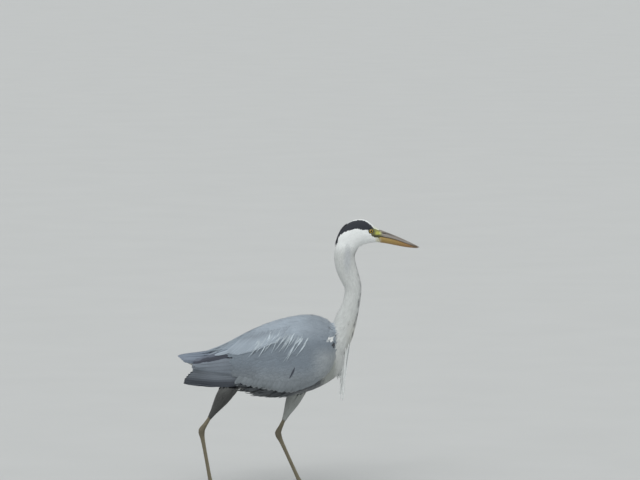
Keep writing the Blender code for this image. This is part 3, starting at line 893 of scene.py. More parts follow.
def studio():
    """The camera where the view is from, plain soft light and a pale floor."""
    scene = bpy.context.scene
    lens = bpy.data.cameras.new("camera")
    lens.sensor_width = 36
    lens.lens = lens.sensor_width * CAMERA_DISTANCE / VIEW_WIDTH
    lens.clip_end = 500
    camera = add("camera", lens)
    back = Vector((0, -math.cos(CAMERA_ELEVATION), math.sin(CAMERA_ELEVATION)))
    camera.location = CAMERA_TARGET + back * CAMERA_DISTANCE
    camera.rotation_euler = back.to_track_quat("Z", "Y").to_euler()
    scene.camera = camera
    scene.view_settings.view_transform = "Standard"

    world = bpy.data.worlds.new("world")
    scene.world = world
    world.use_nodes = True
    sky = world.node_tree.nodes["Background"]
    sky.inputs["Color"].default_value = (0.93, 0.97, 1.0, 1)
    sky.inputs["Strength"].default_value = 0.42
    for name, power, spread, turn in LAMPS:
        light = bpy.data.lights.new(name, "SUN")
        light.energy = power
        light.angle = math.radians(spread)
        add(name, light).rotation_euler = [math.radians(angle) for angle in turn]

    mesh = bpy.data.meshes.new("floor")
    corners = [(-1, -1), (1, -1), (1, 1), (-1, 1)]
    mesh.from_pydata([(FLOOR_HALF * x, FLOOR_HALF * y, 0) for x, y in corners], [], [(0, 1, 2, 3)])
    paper = Nodes("paper")
    grain = paper.noise(3, 4)
    tone = paper.add("ShaderNodeMix", {"data_type": "RGBA"}, _0=grain, _6=PAPER_DARK, _7=PAPER_PALE)
    mesh.materials.append(paper.finished(tone.outputs[2], 0.9))
    add("floor", mesh)


# --- Skin and coat ----------------------------------------------------------------------------------
FACE_END = 221.0  # the skin ends inside the bill
LEAST_SINK = 0.6  # the coat's depth is this and a share of the feathers' spacing
SINK_BY_SPACING = 0.40
COAT_END = 214.0  # the feathers of the face end here
BARE_RING = 6.3  # radius of the bare ring round the eye


def only_base(points):
    """The bill cut off a little beyond its base."""
    points[:, 0] = np.minimum(points[:, 0], FACE_END)
    return points


def eye_at(sign):
    """The centre of the eye on one side, and the way in which it looks."""
    side = np.array([1, sign, 1])
    return EYE * side, unit(np.array(EYE_POLE) * side)


def settled(mesh):
    """The surface round the eyes brought down so that the globes and the lids stand out of it."""
    points = places(mesh)
    for sign in SIDES.values():
        centre, pole = eye_at(sign)
        away = points - centre
        high = away @ pole
        out = np.linalg.norm(away - high[:, None] * pole, axis=1)
        limit = 2.6 + 2.6 * smooth(4.9, 6.6, out) + 2.0 * np.maximum(out - 7.5, 0)
        points = points - pole * np.where(high > 0, np.maximum(high - limit, 0), 0)[:, None]
    move_to(mesh, points)


def unwrap(made):
    """The skin's own map for baking."""
    bpy.context.view_layer.objects.active = made
    made.select_set(True)
    bpy.ops.object.mode_set(mode="EDIT")
    bpy.ops.mesh.select_all(action="SELECT")
    bpy.ops.uv.smart_project(angle_limit=math.radians(66), island_margin=0.004)
    bpy.ops.object.mode_set(mode="OBJECT")
    made.data.uv_layers.active.name = "OFBake"


def make_skin():
    """The skin, sunk by the coat's depth: deeper where feathers are long, hardly at the bare places."""
    made = remeshed("skin", FLESH + BILL + EYES, voxel=2.4, rounds=10, change=only_base)
    settled(made.data)
    points = places(made.data)
    bare = bare_share(points)
    depth = LEAST_SINK + SINK_BY_SPACING * lie_at(points)[1]
    sink = depth * (1 - 0.9 * bare) * (1 - 0.7 * lid_share(points))
    sink = np.maximum(sink, 2.2 * smooth(212.5, 217, points[:, 0]))
    move_to(made.data, points - outward(made.data) * sink[:, None])
    shade(made.data, skin_colour(points, bare))
    unwrap(made)
    return dressed(made, "plumage_pale", skin_material(), *FLESH)


def surface_of(made):
    """An object's surface, kept when the object is taken away."""
    kept = Surface(made.data)
    bpy.data.objects.remove(made)
    return kept


studio()
shell_object = remeshed("shell", FLESH + BILL + EYES + FLIGHT, voxel=2.2, rounds=10, change=only_base)
settled(shell_object.data)
shell = surface_of(shell_object)
skin_mesh = make_skin().data
skin = Surface(skin_mesh)
skin_loops = read(skin_mesh.loop_triangles, "loops", 3, np.int32)
skin_map = read(skin_mesh.uv_layers["OFBake"].data, "uv", 2)[skin_loops]


def unwrapped_at(points):
    """Places on the skin's unwrap under points."""
    spots, _, face = skin.nearest(points)
    share = skin.weights(spots, face)
    return (skin_map[face] * share[:, :, None]).sum(1)


def owners(points):
    """The CAD node under each of the points."""
    names = FLESH + FLIGHT
    face = surface_of(joined("solids", names)).nearest(points)[2]
    counts = []
    for node in names:
        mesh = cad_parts[node].data
        mesh.calc_loop_triangles()
        counts.append(len(mesh.loop_triangles))
    return np.repeat(names, counts)[face]


LORE_EDGE = [(194, 677), (196, 695), (206, 692), (212, 690), (220, 686), (220, 668), (207, 669), (200, 672)]


def in_lore(points):
    """True on the bare skin between eye and bill, in side view."""
    x, y, z = sided(points)
    inside = np.zeros(len(points), bool)
    for (x0, z0), (x1, z1) in zip(LORE_EDGE, LORE_EDGE[1:] + LORE_EDGE[:1]):
        crosses = (z0 > z) != (z1 > z)
        inside ^= crosses & (x < (x1 - x0) * (z - z0) / (z1 - z0 + 1e-9) + x0)
    return inside & (y > 5)


# The small coverts end at the first line (x, z). Large feathers cover what lies beyond the other two: the
# tertials (z, x) and the primaries (x, z).
COVERT_LINE = [(-160, 318), (-140, 314), (-75, 303), (-10, 296), (48, 305)]
TERTIAL_LINE = [(292, -132), (300, -146)]
PRIMARY_LINE = [(-240, 322), (-200, 303), (-176, 292)]


def loosened(points):
    """How much higher, in millimetres, feathers lie where they overlap the large wing feathers."""
    x, y, z = sided(points)
    over_tertials = smooth(-90, -118, x) * smooth(265, 290, z)
    over_coverts = smooth(42, 16, z - along(COVERT_LINE, x)) * smooth(60, 40, x)
    return 0.9 * np.maximum(over_tertials, over_coverts) * smooth(44, 54, y)


def feathered(points):
    """True where small feathers grow: not on the lores, the eyes or the bill, nor under large feathers."""
    x, y, z = sided(points)
    at_eye = (np.hypot(x - EYE[0], (z - EYE[2]) * 1.08) < BARE_RING) & (y - EYE[1] > -4)
    before_bill = x - 4.0 * smooth(664, 658, z) - 2.5 * smooth(687, 690, z) < COAT_END
    under_tertials = (x < along(TERTIAL_LINE, z)) & (y > 30) & (z > 275) & (z < 352)
    under_primaries = (x < -176) & (y > 14) & (z > along(PRIMARY_LINE, x)) & (z < 352)
    under_coverts = (y > 52) & (z < along(COVERT_LINE, x)) & (x < 45)
    return before_bill & ~(in_lore(points) | at_eye | under_tertials | under_primaries | under_coverts)


# A kind of feather: points along and across, size and sink as shares of the spacing, how far its tip lies
# off the surface, its thickness and shape, how it strays and how its colour varies.
FACE = {"stations": 5, "across": 3, "length": 4.8, "half": 0.95, "sink": 0.22, "lift": 0.08, "thick": 0.08,
        "camber": 0.05, "start": 0.5, "widest": 0.5, "blunt": 1.7, "ragged": 0.12, "stray": 0.09,
        "vary": 0.03, "fringe": 0.03, "root": 0.04, "core": 0.0}
NECK = {**FACE, "vary": 0.075, "stations": 6, "length": 6.0, "half": 0.86, "sink": 0.28, "lift": 0.10,
        "blunt": 1.45, "widest": 0.4, "ragged": 0.15, "stray": 0.06}
BODY = {**FACE, "stations": 7, "across": 5, "half": 1.02, "lift": 0.15, "thick": 0.16, "start": 0.35,
        "blunt": 1.8, "ragged": 0.08, "stray": 0.05, "fringe": 0.05, "core": 0.04}
THIGH = {**FACE, "stations": 6, "length": 5.0, "half": 0.75, "sink": 0.35, "lift": 0.2, "blunt": 1.5,
         "ragged": 0.2, "stray": 0.12}
COAT = [  # the coat's pieces: name, CAD node under it, kind and slot
    ("coat_head", "head", FACE, "plumage_pale"),
    ("coat_neck_upper", "neck_upper", NECK, "plumage_pale"),
    ("coat_neck_lower", "neck_lower", NECK, "plumage_pale"),
    ("coat_body", "trunk", BODY, "plumage_mantle"),
    ("coat_wing_left", "wing_left", BODY, "plumage_wing"),
    ("coat_wing_right", "wing_right", BODY, "plumage_wing"),
    ("coat_thigh_left", "thigh_left", THIGH, "plumage_pale"),
    ("coat_thigh_right", "thigh_right", THIGH, "plumage_pale"),
]


def thigh_tint(wet):
    """Pale grey thighs, darker and browner towards the shank by the share wet for each leg."""
    return lambda seen: painted(evenly(THIGH_GREY, seen), (THIGH_DARK_LOW, wet * smooth(330, 250, seen[:, 2])))


THIGH_TINTS = {"thigh_left": thigh_tint(0.25), "thigh_right": thigh_tint(1.0)}
roots, root_gaps = scattered(shell, feathered)
root_owner = owners(roots)
for number, (name, node, kind, slot) in enumerate(COAT):
    mine = root_owner == node
    contour(name, slot, shell, roots[mine], root_gaps[mine], kind, number, THIGH_TINTS.get(node))


# --- Wing, tail and ornamental feathers -------------------------------------------------------------
def plain(colour):
    """A tint of one colour."""
    return lambda seen: evenly(colour, seen)


def graded(table):
    """A tint that runs through a table of colours from the first feather to the last."""
    return lambda seen: albedo(row(table, len(seen)))


# The tertials from the lowest to the highest: bases and tips in side view (x, z).
TERTIAL_BASES = [(-118, 318), (-114, 330), (-112, 343), (-115, 356), (-140, 377), (-142, 388), (-135, 392)]
TERTIAL_TIPS = [(-258, 314), (-280, 318), (-284, 325), (-281, 332), (-278, 337), (-281, 342), (-222, 359)]
PLUME_WAY = (-0.54, -0.84)  # where the silver plumes point, in side view


def wing_feathers(side, sign, number):
    """One wing's greater coverts, primaries, tertials, scapulars and silver plumes."""
    rng = seeded(36 + number)
    coverts = 17
    quills(
        f"greater_coverts_{side}", "plumage_wing", sign,
        row([(74, 340), (10, 335), (-60, 340), (-112, 348)], coverts),
        row([(22, 280), (-30, 259), (-90, 268), (-168, 283)], coverts) + rng.normal(0, 1.6, (coverts, 2)),
        rng.uniform(9.5, 12, coverts), 5.0, 0.6, plain(WING_LOW), 20 + number,
        thick=0.3, shaft=0.12, tilt=0.6, looks=COVERT_LOOKS, deep=4.5,
    )
    outer = 7
    quills(
        f"primary_vanes_{side}", "plumage_flight", sign,
        row([(-140, 283), (-140, 306)], outer),
        row([(-306, 282), (-303, 292), (-294, 303), (-282, 314)], outer),
        row([5.5, 8.5, 8.2, 8], outer), 3.0, np.linspace(-0.6, 1.6, outer),
        graded([SLATE_DARK, SLATE_DARK, SLATE, SLATE]), 24 + number,
        blunt=1.9, looks=PRIMARY_LOOKS, deep=2.5, nodes=[f"primaries_{side}"],
    )
    # The fifth tertial from below is painted dark: painted shadow in the slit under the two above it.
    inner = 7
    quills(
        f"tertial_vanes_{side}", "plumage_wing", sign,
        row(TERTIAL_BASES, inner), row(TERTIAL_TIPS, inner),
        row([12, 12, 11, 8, 5, 5], inner), 3.0, np.linspace(0.2, 2.2, inner),
        graded([TERTIAL, TERTIAL, TERTIAL, TERTIAL, TERTIAL_SLIT_SHADE, TERTIAL_PALE, MANTLE]), 28 + number,
        deep=3.0, nodes=[f"tertials_{side}"],
    )
    scapulars = 15
    quills(
        f"scapulars_{side}", "plumage_mantle", sign,
        row([(-20, 436), (-130, 416)], scapulars),
        row([(-88, 388), (-120, 372), (-165, 360), (-196, 365)], scapulars),
        rng.uniform(5.5, 7.5, scapulars), 4.0, np.linspace(2.2, 1.6, scapulars), plain(MANTLE),
        32 + number, blunt=1.6, tilt=0.4,
    )
    # On the right wing one dark vane lies in a parting of the feathers as painted shade.
    if side == "right":
        quills(
            f"parting_shade_{side}", "plumage_flight", sign, np.array([(-9.0, 331.0)]),
            np.array([(-24.0, 302.0)]), 2.4, 1.0, 2.2, plain(TERTIAL_SLIT_SHADE), 35,
            blunt=1.3, stations=9, across=5, thick=0.2, shaft=0.05, looks=SOFT_LOOKS, deep=-0.6,
        )
    silver = 46
    starts = row([(20, 406), (-8, 424), (-65, 424), (-104, 400)], silver) + rng.uniform(-7, 7, (silver, 2))
    starts[:, 0] += 7 * np.sin(np.arange(silver) * 0.75)
    lengths = rng.uniform(26, 80, silver)[:, None]
    drop = lengths * unit(np.array(PLUME_WAY) + rng.normal(0, 0.10, (silver, 2)))
    halves = rng.uniform(0.8, 1.6, silver)
    over_scapulars = 2.3 * smooth(-10, -40, starts[:, 0])
    quills(
        f"silver_plumes_{side}", "plumage_pale", sign, starts, starts + drop, halves,
        2.0, rng.uniform(1.2, 1.9, silver) + over_scapulars, plain(SILVER), 36 + number,
        blunt=1.2, stations=12, across=5, thick=0.2, shaft=0.1, widest=0.35,
        looks={**SOFT_LOOKS, "vary": 0.16, "root": 0.3}, deep=0.7,
    )


FLANKS = {"left": [(-24, 263), (-80, 264), (-124, 270)], "right": [(14, 268), (-40, 262), (-120, 270)]}


def flank_plumes(side, sign, count=56):
    """Long loose black feathers that hang from the flank under the closed wing, darkened further as painted
    shade.
    """
    rng = seeded(44 + sign)
    spots = row(FLANKS[side], count) + rng.normal(0, 2.5, (count, 2))
    starts = columns(spots[:, 0], sign * rng.uniform(20, 44, count), spots[:, 1])
    ways = unit(columns(-0.95, 0.0, rng.uniform(-0.35, -0.1, count)))
    kind = {**BODY, "stations": 9, "blunt": 1.4, "widest": 0.45, "lift": 7.5, "stray": 0.10, "ragged": 0.15}
    contour(f"flank_plumes_{side}", "plumage_black", shell, starts, 5.0, kind, 46 + sign,
            plain(FLANK_BLACK_AND_SHADE), ways, rng.uniform(38, 58, count), rng.uniform(4.0, 6.5, count))


def tail_feathers(count=12, stations=14, across=9):
    """The closed tail: feathers that lie over each other like roof tiles, the middle pair on top."""
    rng = seeded(40)
    low, high = (np.array(corner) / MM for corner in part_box("tail"))
    turn = np.radians(np.linspace(-80, 80, count))
    off_top = np.abs(turn) / turn.max()
    t = eased(stations, 1.4, 0.985)
    end = low[0] + 1.5 + 16 * off_top**2
    start = high[0] + 6 - 22 * off_top**2
    x = start[:, None] + (end - start)[:, None] * t
    ridge = along([(high[0], high[2]), (low[0], low[2] + 27)], x)
    edge = along([(high[0], low[2]), (low[0], low[2] + 19)], x)
    axis = edge + 0.3 * (ridge - edge)
    width = np.radians(24) * outline(t, 0.8, 0.5, 3.0)
    left, right = width * split_edges(rng, count, stations, 0.15)
    v = np.linspace(-1, 1, across)
    angle = turn[:, None, None] + np.where(v > 0, left[..., None], right[..., None]) * v
    ways = columns(0.0, np.sin(angle), np.cos(angle))
    spots = columns(x[..., None], 0.0, axis[..., None] + 0 * angle)
    grid = draped(spots, ways, TAIL_REACH)
    height = 0.3 + 1.5 * (1 - off_top)
    buried = 1.0 + 6.0 * off_top**2
    grid = grid + ways * (height[:, None] * t[None] - (1 - t)[None] ** 1.5 * buried[:, None])[..., None, None]
    ends = tips_of(grid, 2, 1.6)
    coat_piece("tail_vanes", "plumage_flight", grid, ways, ends, 0.5, t, QUILL_LOOKS, rng, plain(TAIL_GREY),
               0.3, ["tail"])


LANCET = {**NECK, "stations": 9, "blunt": 1.25, "widest": 0.35}


def crest(count=46):
    """Black lanceolate feathers that lie down the nape, the longest in the middle."""
    surface = surface_of(remeshed("crest_shell", ["head", "neck_upper", "crest"], voxel=1.6, rounds=6))
    rng = seeded(50)
    high = rng.random(count)
    spots = row([(130, 708), (122, 699), (114, 688), (109, 675)], count)[np.argsort(np.argsort(high))]
    starts = columns(spots[:, 0], rng.uniform(-9, 9, count) * (1 - 0.3 * high), spots[:, 1])
    ends = np.array([98.0, 0, 646]) + rng.uniform(-1, 1, (count, 3)) * np.array([0.6, 1.6, 3.5])
    lengths = np.linalg.norm(ends - starts, axis=1) * rng.uniform(0.65, 0.95, count)
    kind = {**LANCET, "stray": 0.05, "lift": 0.5}
    contour("crest_plumes", "plumage_black", surface, starts, 3.0, kind, 51, plain(NEAR_BLACK),
            lengths=lengths, widths=2.3, nodes=["crest"])


def loose(name, slot, course, out, half, blunt, rng, tint, stations=18, across=5, under=None, nodes=()):
    """Plumes that leave the surface: each follows a curve from its root past a middle point to its tip.

    With under, those inside the bird are brought out to lie that far above its surface."""
    root, middle, tip = (points[:, None] for points in course)
    t = np.linspace(0, 0.985, stations)
    s = t[None, :, None]
    line = root * (1 - s) ** 2 + middle * 2 * s * (1 - s) + tip * s**2
    if under is not None:
        spots, facing = (found.reshape(line.shape) for found in shell.nearest(line.reshape(-1, 3))[:2])
        above = ((line - spots) * facing).sum(-1)
        resting = under * (1 - (1 - t) ** 2) - 1.5 * (1 - t) ** 2
        line = line + facing * np.maximum(resting - above, 0)[..., None]
    ahead = unit(np.gradient(line, axis=1))
    normal = flat_to(np.repeat(unit(out)[:, None], stations, 1), ahead)
    wide = half[:, None] * outline(t, 0.6, 0.35, blunt)
    grid = spread_out(line, ahead, normal, wide, wide, across, 0.1)
    ends = line[:, -1] + ahead[:, -1] * wide[:, -1:]
    return coat_piece(name, slot, grid, normal[:, :, None], ends, 0.3, t, NECK, rng, tint, nodes=nodes)


def breast_plumes(count=120, veiling=74):
    """Long loose white feathers that hang from the breast: a close veil, and below it two thin bunches."""
    rng = seeded(60)
    veil = np.arange(count) < veiling
    bunch = rng.integers(0, 2, count)
    root = columns(rng.uniform(110, 140, count), rng.uniform(-15, 15, count), rng.uniform(326, 392, count))
    low = rng.uniform(0, 1, count) ** 1.6
    tip = columns(np.where(bunch, 118.0, 110.0), rng.uniform(-2.5, 2.5, count), 230 + 50 * low)
    tip[:, 0] += rng.uniform(-1.6, 1.6, count)
    tip[veil] = columns(rng.uniform(101, 122, count), rng.uniform(-8, 8, count), 288 + 34 * low)[veil]
    root = shell.nearest(root)[0]
    middle = root * 0.45 + tip * 0.55 + columns(2.0, root[:, 1] * 0.1, 8.0)
    out = columns(rng.normal(0.4, 0.5, count), np.sign(root[:, 1]) * 0.9 + 0.01, 0.0)
    half = rng.uniform(1.2, 2.0, count) + 0.6 * veil
    loose("hanging_plumes", "plumage_pale", (root, middle, tip), out, half, 1.2, rng, plain(WHITE), under=0.9,
          nodes=["breast_plumes"])


def undertail(count=190):
    """Soft pale feathers that wrap the root of the tail from below, between the folded wings."""
    rng = seeded(70)
    x = np.sort(rng.uniform(-242, -184, count))
    belly = [(-242, 317), (-220, 304), (-200, 291), (-180, 279), (-160, 268)]
    turn = np.radians(rng.uniform(-85, 85, count))
    wide = along([(-242, 11), (-180, 22)], x)
    root = columns(x, wide * np.sin(turn), along(belly, x) + 3 + 10 * (1 - np.cos(turn)))
    tip_x = np.maximum(x - rng.uniform(46, 120, count), -302 + rng.uniform(0, 20, count))
    deepest = along([(-302, 0.08), (-284, 0.15), (-272, 0.4), (-256, 1.0)], tip_x)
    deep = np.minimum(rng.uniform(0.03, 1, count) ** 0.6, deepest)
    level = along([(-302, 342), (-240, 334)], tip_x)
    tip = columns(tip_x, 17 * deep * np.sin(turn), level - 30 * deep * np.cos(turn))
    out = columns(-0.2, np.sin(turn), -np.cos(turn))
    loose("undertail_coverts", "plumage_pale", (root, (root + tip) / 2 + out * 4, tip), out,
          rng.uniform(5, 8, count), 1.8, rng, plain(VENT), stations=12)


def top_of(x, y, above=600.0):
    """Heights of the shell seen from above."""
    return above - shell.falls(columns(x, y, above), np.array([0, 0, -1.0]))


def rump(count=110):
    """Long soft feathers of the rump that lie over the root of the tail and the hollows beside it."""
    rng = seeded(90)
    x = np.sort(rng.uniform(-204, -150, count))
    y = rng.uniform(-1, 1, count) * along([(-204, 25), (-150, 40)], x)
    root = columns(x, y, top_of(x, y))
    tip_x = x - rng.uniform(34, 50, count)
    tip_y = y * 0.85
    tip = columns(tip_x, tip_y, top_of(tip_x, tip_y) + 1.0)
    middle = (root + tip) / 2 + np.array([0, 0, 2.0])
    loose("rump_coverts", "plumage_mantle", (root, middle, tip), columns(-0.1, y / 45, 1.0),
          rng.uniform(4.5, 6.5, count), 1.8, rng, plain(MANTLE_DEEP), stations=10, under=0.8)


def breast_lancets(count=90):
    """Narrow pointed feathers of the lower neck and breast, lying over the roots of the hanging plumes."""
    rng = seeded(80)
    level = np.sort(rng.uniform(336, 436, count))
    spots = shell.nearest(columns(160.0, rng.uniform(-1, 1, count) * 24, level))[0]
    kind = {**LANCET, "lift": 0.7, "stray": 0.08}
    contour("breast_lancets", "plumage_pale", shell, spots, 3.5, kind, 81,
            lengths=rng.uniform(34, 56, count), widths=rng.uniform(1.8, 2.8, count))


for number, (side, sign) in enumerate(SIDES.items()):
    wing_feathers(side, sign, number)
for side, sign in SIDES.items():
    flank_plumes(side, sign)
tail_feathers()
crest()
breast_plumes()
undertail()
rump()
breast_lancets()

# --- Eyes -------------------------------------------------------------------------------------------
PUPIL = 0.31  # radians from the eye's pole
IRIS = 0.70
# The iris's yellow is kept dim: painted shade from the brow.
IRIS_COLOURS = [
    (0.0, (4, 4, 5)), (PUPIL, (5, 5, 6)), (PUPIL + 0.03, (120, 94, 28)), (PUPIL + 0.09, (178, 146, 44)),
    (IRIS - 0.14, (176, 144, 48)), (IRIS - 0.05, (116, 92, 38)), (IRIS, (30, 26, 20)), (1.2, (24, 22, 20)),
]
OPENING = 5.0  # radius of the opening between the lids
EYE_REACH = 20.0  # from how far out the lids are laid onto the skin
EYE_STEPS = 64
LID_STEPS = 72
LID_RINGS = [  # how far outside the opening, how high over the skin, least height over the globe, tone
    (0.05, None, -0.1, 0), (-0.05, None, 0.35, 0), (0.2, None, 0.62, 0.1), (0.5, None, 0.62, 0.35),
    (0.8, 0.25, 0.4, 0.2), (1.1, 0.45, 0.4, 0.6), (1.6, 0.25, 0.1, 0.8), (2.2, 0.1, 0.1, 1),
    (2.8, -0.2, 0.1, 1), (3.0, -1.0, -9.0, 1), (3.0, -3.0, -9.0, 1), (0.5, None, -1.6, 0),
]


def eye_material():
    """Black pupil, yellow iris dimmed as painted shade, with a darker rim, under a clear wet cornea."""
    made = Nodes("eye")
    turn = made.add("ShaderNodeAttribute", {"attribute_name": "turn"}).outputs["Fac"]
    frayed = made.math("MULTIPLY_ADD", made.spread(made.noise(1400, 2), -1, 1), 0.012, turn)
    quarter = math.pi / 2
    stops = [(angle / quarter, colour) for angle, colour in IRIS_COLOURS]
    iris = made.ramp(made.math("DIVIDE", frayed, quarter), stops)
    colour = made.scaled(iris, made.spread(made.noise(1100, 4), 0.82, 1.12))
    return made.finished(colour, made.spread(made.noise(500), 0.16, 0.24), Specular_IOR_Level=0.15,
                         Coat_Weight=1.0, Coat_Roughness=0.02, Coat_IOR=1.38)


def lid_material():
    """Thin bare skin of the lids, olive and finely wrinkled."""
    made = Nodes("lid")
    wrinkles = made.noise(900, 4, 0.7)
    colour = made.scaled(made.stored(), made.spread(wrinkles, 0.7, 1.15))
    return made.finished(colour, made.spread(made.noise(300), 0.35, 0.6), (wrinkles, 0.6, 0.0003))


def around(pole, angles):
    """Directions square to a pole, one for each angle from the front upwards."""
    forward = unit(np.array([1.0, 0.0, 0.0]) - pole * pole[0])
    up = np.cross(forward, pole)
    up = up * np.sign(up[2])
    return forward * np.cos(angles)[:, None] + up * np.sin(angles)[:, None]


def ring_mesh(name, rings, closed):
    """A mesh through rings of points; closed joins the last ring to the first, else both are capped."""
    rows, steps = rings.shape[:2]
    faces = band(rows, steps, closed)
    if not closed:
        faces += [tuple(range(steps))[::-1], tuple((rows - 1) * steps + i for i in range(steps))]
    mesh = bpy.data.meshes.new(name)
    mesh.from_pydata((rings.reshape(-1, 3) * MM).tolist(), [], faces)
    shape = bmesh.new()
    shape.from_mesh(mesh)
    bmesh.ops.recalc_face_normals(shape, faces=shape.faces)
    shape.to_mesh(mesh)
    shape.free()
    mesh.shade_smooth()
    return mesh


def globe(side, sign, wet):
    """The eyeball, with its pole where the bird looks."""
    centre, pole = eye_at(sign)
    turns = np.concatenate([np.linspace(0.02, 1.2, 44), np.linspace(1.3, math.pi - 0.05, 12)])
    radii = EYE_RADIUS + 0.5 * np.exp(-((turns / 0.62) ** 4))  # the cornea stands out a little
    ways = around(pole, np.linspace(0, math.tau, EYE_STEPS, endpoint=False))
    rings = [centre + ways * (r * math.sin(a)) + pole * (r * math.cos(a)) for a, r in zip(turns, radii)]
    ball = ring_mesh(f"eyeball_{side}", np.stack(rings), False)
    write(ball.attributes.new("turn", "FLOAT", "POINT").data, "value", np.repeat(turns, EYE_STEPS))
    dressed(add(f"eyeball_{side}", ball), "eye", wet, f"eye_{side}")


def lids(side, sign, bare):
    """The lids as one closed band: from the opening's rim over the skin, back under it and on to the rim."""
    centre, pole = eye_at(sign)
    angles = np.linspace(0, math.tau, LID_STEPS, endpoint=False)
    ways = around(pole, angles)
    upper, lower = np.clip(np.sin(angles), 0, 1), np.clip(-np.sin(angles), 0, 1)
    opening = OPENING * (1 + 0.10 * np.abs(np.cos(angles)) ** 3 + (-0.13 * upper - 0.04 * lower))
    rings = []
    for extra, over_skin, least, _ in LID_RINGS:
        out = opening + extra
        height = np.sqrt(EYE_RADIUS**2 - np.minimum(out, EYE_RADIUS - 0.3) ** 2) + least + 0.25 * upper
        if over_skin is not None:
            falls = skin.falls(centre + ways * out[:, None] + pole * EYE_REACH, -pole)
            height = np.maximum(EYE_REACH - falls + over_skin, height)
        rings.append(centre + ways * out[:, None] + pole * height[:, None])
    mesh = ring_mesh(f"lids_{side}", np.stack(rings), True)
    colours = painted(evenly(LID_RIM, LID_RINGS), (LID, [tone for *_, tone in LID_RINGS]))
    shade(mesh, np.repeat(colours, LID_STEPS, 0))
    dressed(add(f"lids_{side}", mesh), "plumage_pale", bare)


wet_eye, bare_lid = eye_material(), lid_material()
for side, sign in SIDES.items():
    globe(side, sign, wet_eye)
    lids(side, sign, bare_lid)


# --- Bill -------------------------------------------------------------------------------------------
BILL_ROOT = 11.0  # how far the horn reaches into the head
BILL_BASE = 214.0  # the horn shows beyond this
ROOT_SHRINK = 0.6
GROOVE_DEPTH = 0.75
NOSTRIL_DEPTH = 1.1
# Near-black painted shade in the nostril slits.
NOSTRIL_SHADE = (20, 18, 16)
# The groove of the nostrils, the mouth, the ridge and the keel in side view (x, z).
NOSTRIL_LINE = [(214, 684.5), (224, 681.5), (234, 679.2), (248, 675.5), (268, 669.0)]
MOUTH = [(200, 673), (212, 672), (230, 669.6), (250, 665.6), (270, 660), (291, 651.6), (309, 645.4),
         (323, 642.6)]
CULMEN = [(212, 693.2), (231, 684.8), (249, 678), (270, 669.2), (291, 659.4), (309, 650.4), (322.5, 643.6)]
GONYS = [(212, 655.7), (231, 653.8), (249, 650.3), (270, 646), (291, 642.7), (309, 641.1), (319, 641.2)]


def horn_material():
    """Horn of the bill: fine streaks along it, a waxy gloss and small scratches."""
    made = Nodes("bill_horn")
    lengthwise = made.add("ShaderNodeMapping", Vector=made.place(), Scale=(0.10, 1, 1)).outputs["Vector"]
    streaks = made.noise(900, 5, 0.65, lengthwise)
    blotches = made.noise(90, 3, 0.5)
    tone = made.math("MULTIPLY", made.spread(streaks, 0.80, 1.16), made.spread(blotches, 0.88, 1.1))
    colour = made.scaled(made.stored(), tone)
    return made.finished(colour, made.spread(streaks, 0.30, 0.55), (streaks, 0.35, 0.00025),
                         Coat_Weight=0.15, Coat_Roughness=0.3)


def lengthen(points):
    """The bill's root carried on into the head, so that the skin closes over it."""
    root = points[:, 0] < BILL_BASE
    middle = points[root].mean(0)
    points[root] = middle + (points[root] - middle) * ROOT_SHRINK - np.array([BILL_ROOT, 0, 0])
    return points


def half_width(points):
    """How far the horn reaches sideways at each point's place along the bill."""
    bins = np.clip(((points[:, 0] - 195) / 1.5).astype(int), 0, 99)
    widest = np.zeros(100)
    np.maximum.at(widest, bins, np.abs(points[:, 1]))
    return widest[bins]


def upper_bill(points, normal):
    """The upper half's points, sunk along the grooves and at the nostrils, and its colours, with painted
    shade in the nostril slits.
    """
    x, _, z = points.T
    mouth = along(MOUTH, x)
    groove = along(NOSTRIL_LINE, x)
    height = np.clip((z - mouth) / np.maximum(along(CULMEN, x) - mouth, 0.5), 0, 1)
    sunk = GROOVE_DEPTH * np.exp(-(((z - groove) / 1.3) ** 2)) * (smooth(213, 219, x) * smooth(272, 250, x))
    slit = NOSTRIL_DEPTH * np.exp(-(((z - groove) / 0.7) ** 4)) * smooth(222, 224, x) * smooth(235, 232, x)
    depth = (sunk + slit) * smooth(0.2, 0.7, np.abs(normal[:, 1]))
    streak = np.exp(-(((z - groove - 1.5) / 2.4) ** 2)) * smooth(216, 224, x) * smooth(262, 240, x)
    stripe = smooth(0.95, 0.8, height) * smooth(0.45, 0.65, height) * smooth(225, 245, x)
    stripe = stripe * smooth(300, 275, x)
    colours = painted(
        evenly(BILL_HORN, points),
        (BILL_RIDGE, smooth(0.72, 0.98, height)),
        (BILL_DARK, 0.8 * streak),
        (BILL_DARK, 0.5 * stripe),
        (BILL_DARK, 0.55 * smooth(0.2, 0.0, height) * smooth(214, 222, x)),
        (BILL_TIP, 0.8 * smooth(280, 316, x)),
        (LORE, smooth(226, 214, x) * smooth(0.95, 0.6, height)),
        (LORE_BRIGHT, 0.7 * ellipse(points, BRIGHT_SPOT, 0.6)),
        (GAPE_AND_EYE_SHADE, 0.7 * ellipse(points, GAPE_LINE, 0.5)),
        (NOSTRIL_SHADE, 0.85 * smooth(0.35, 0.9, slit)),
    )
    return points - normal * depth[:, None], colours


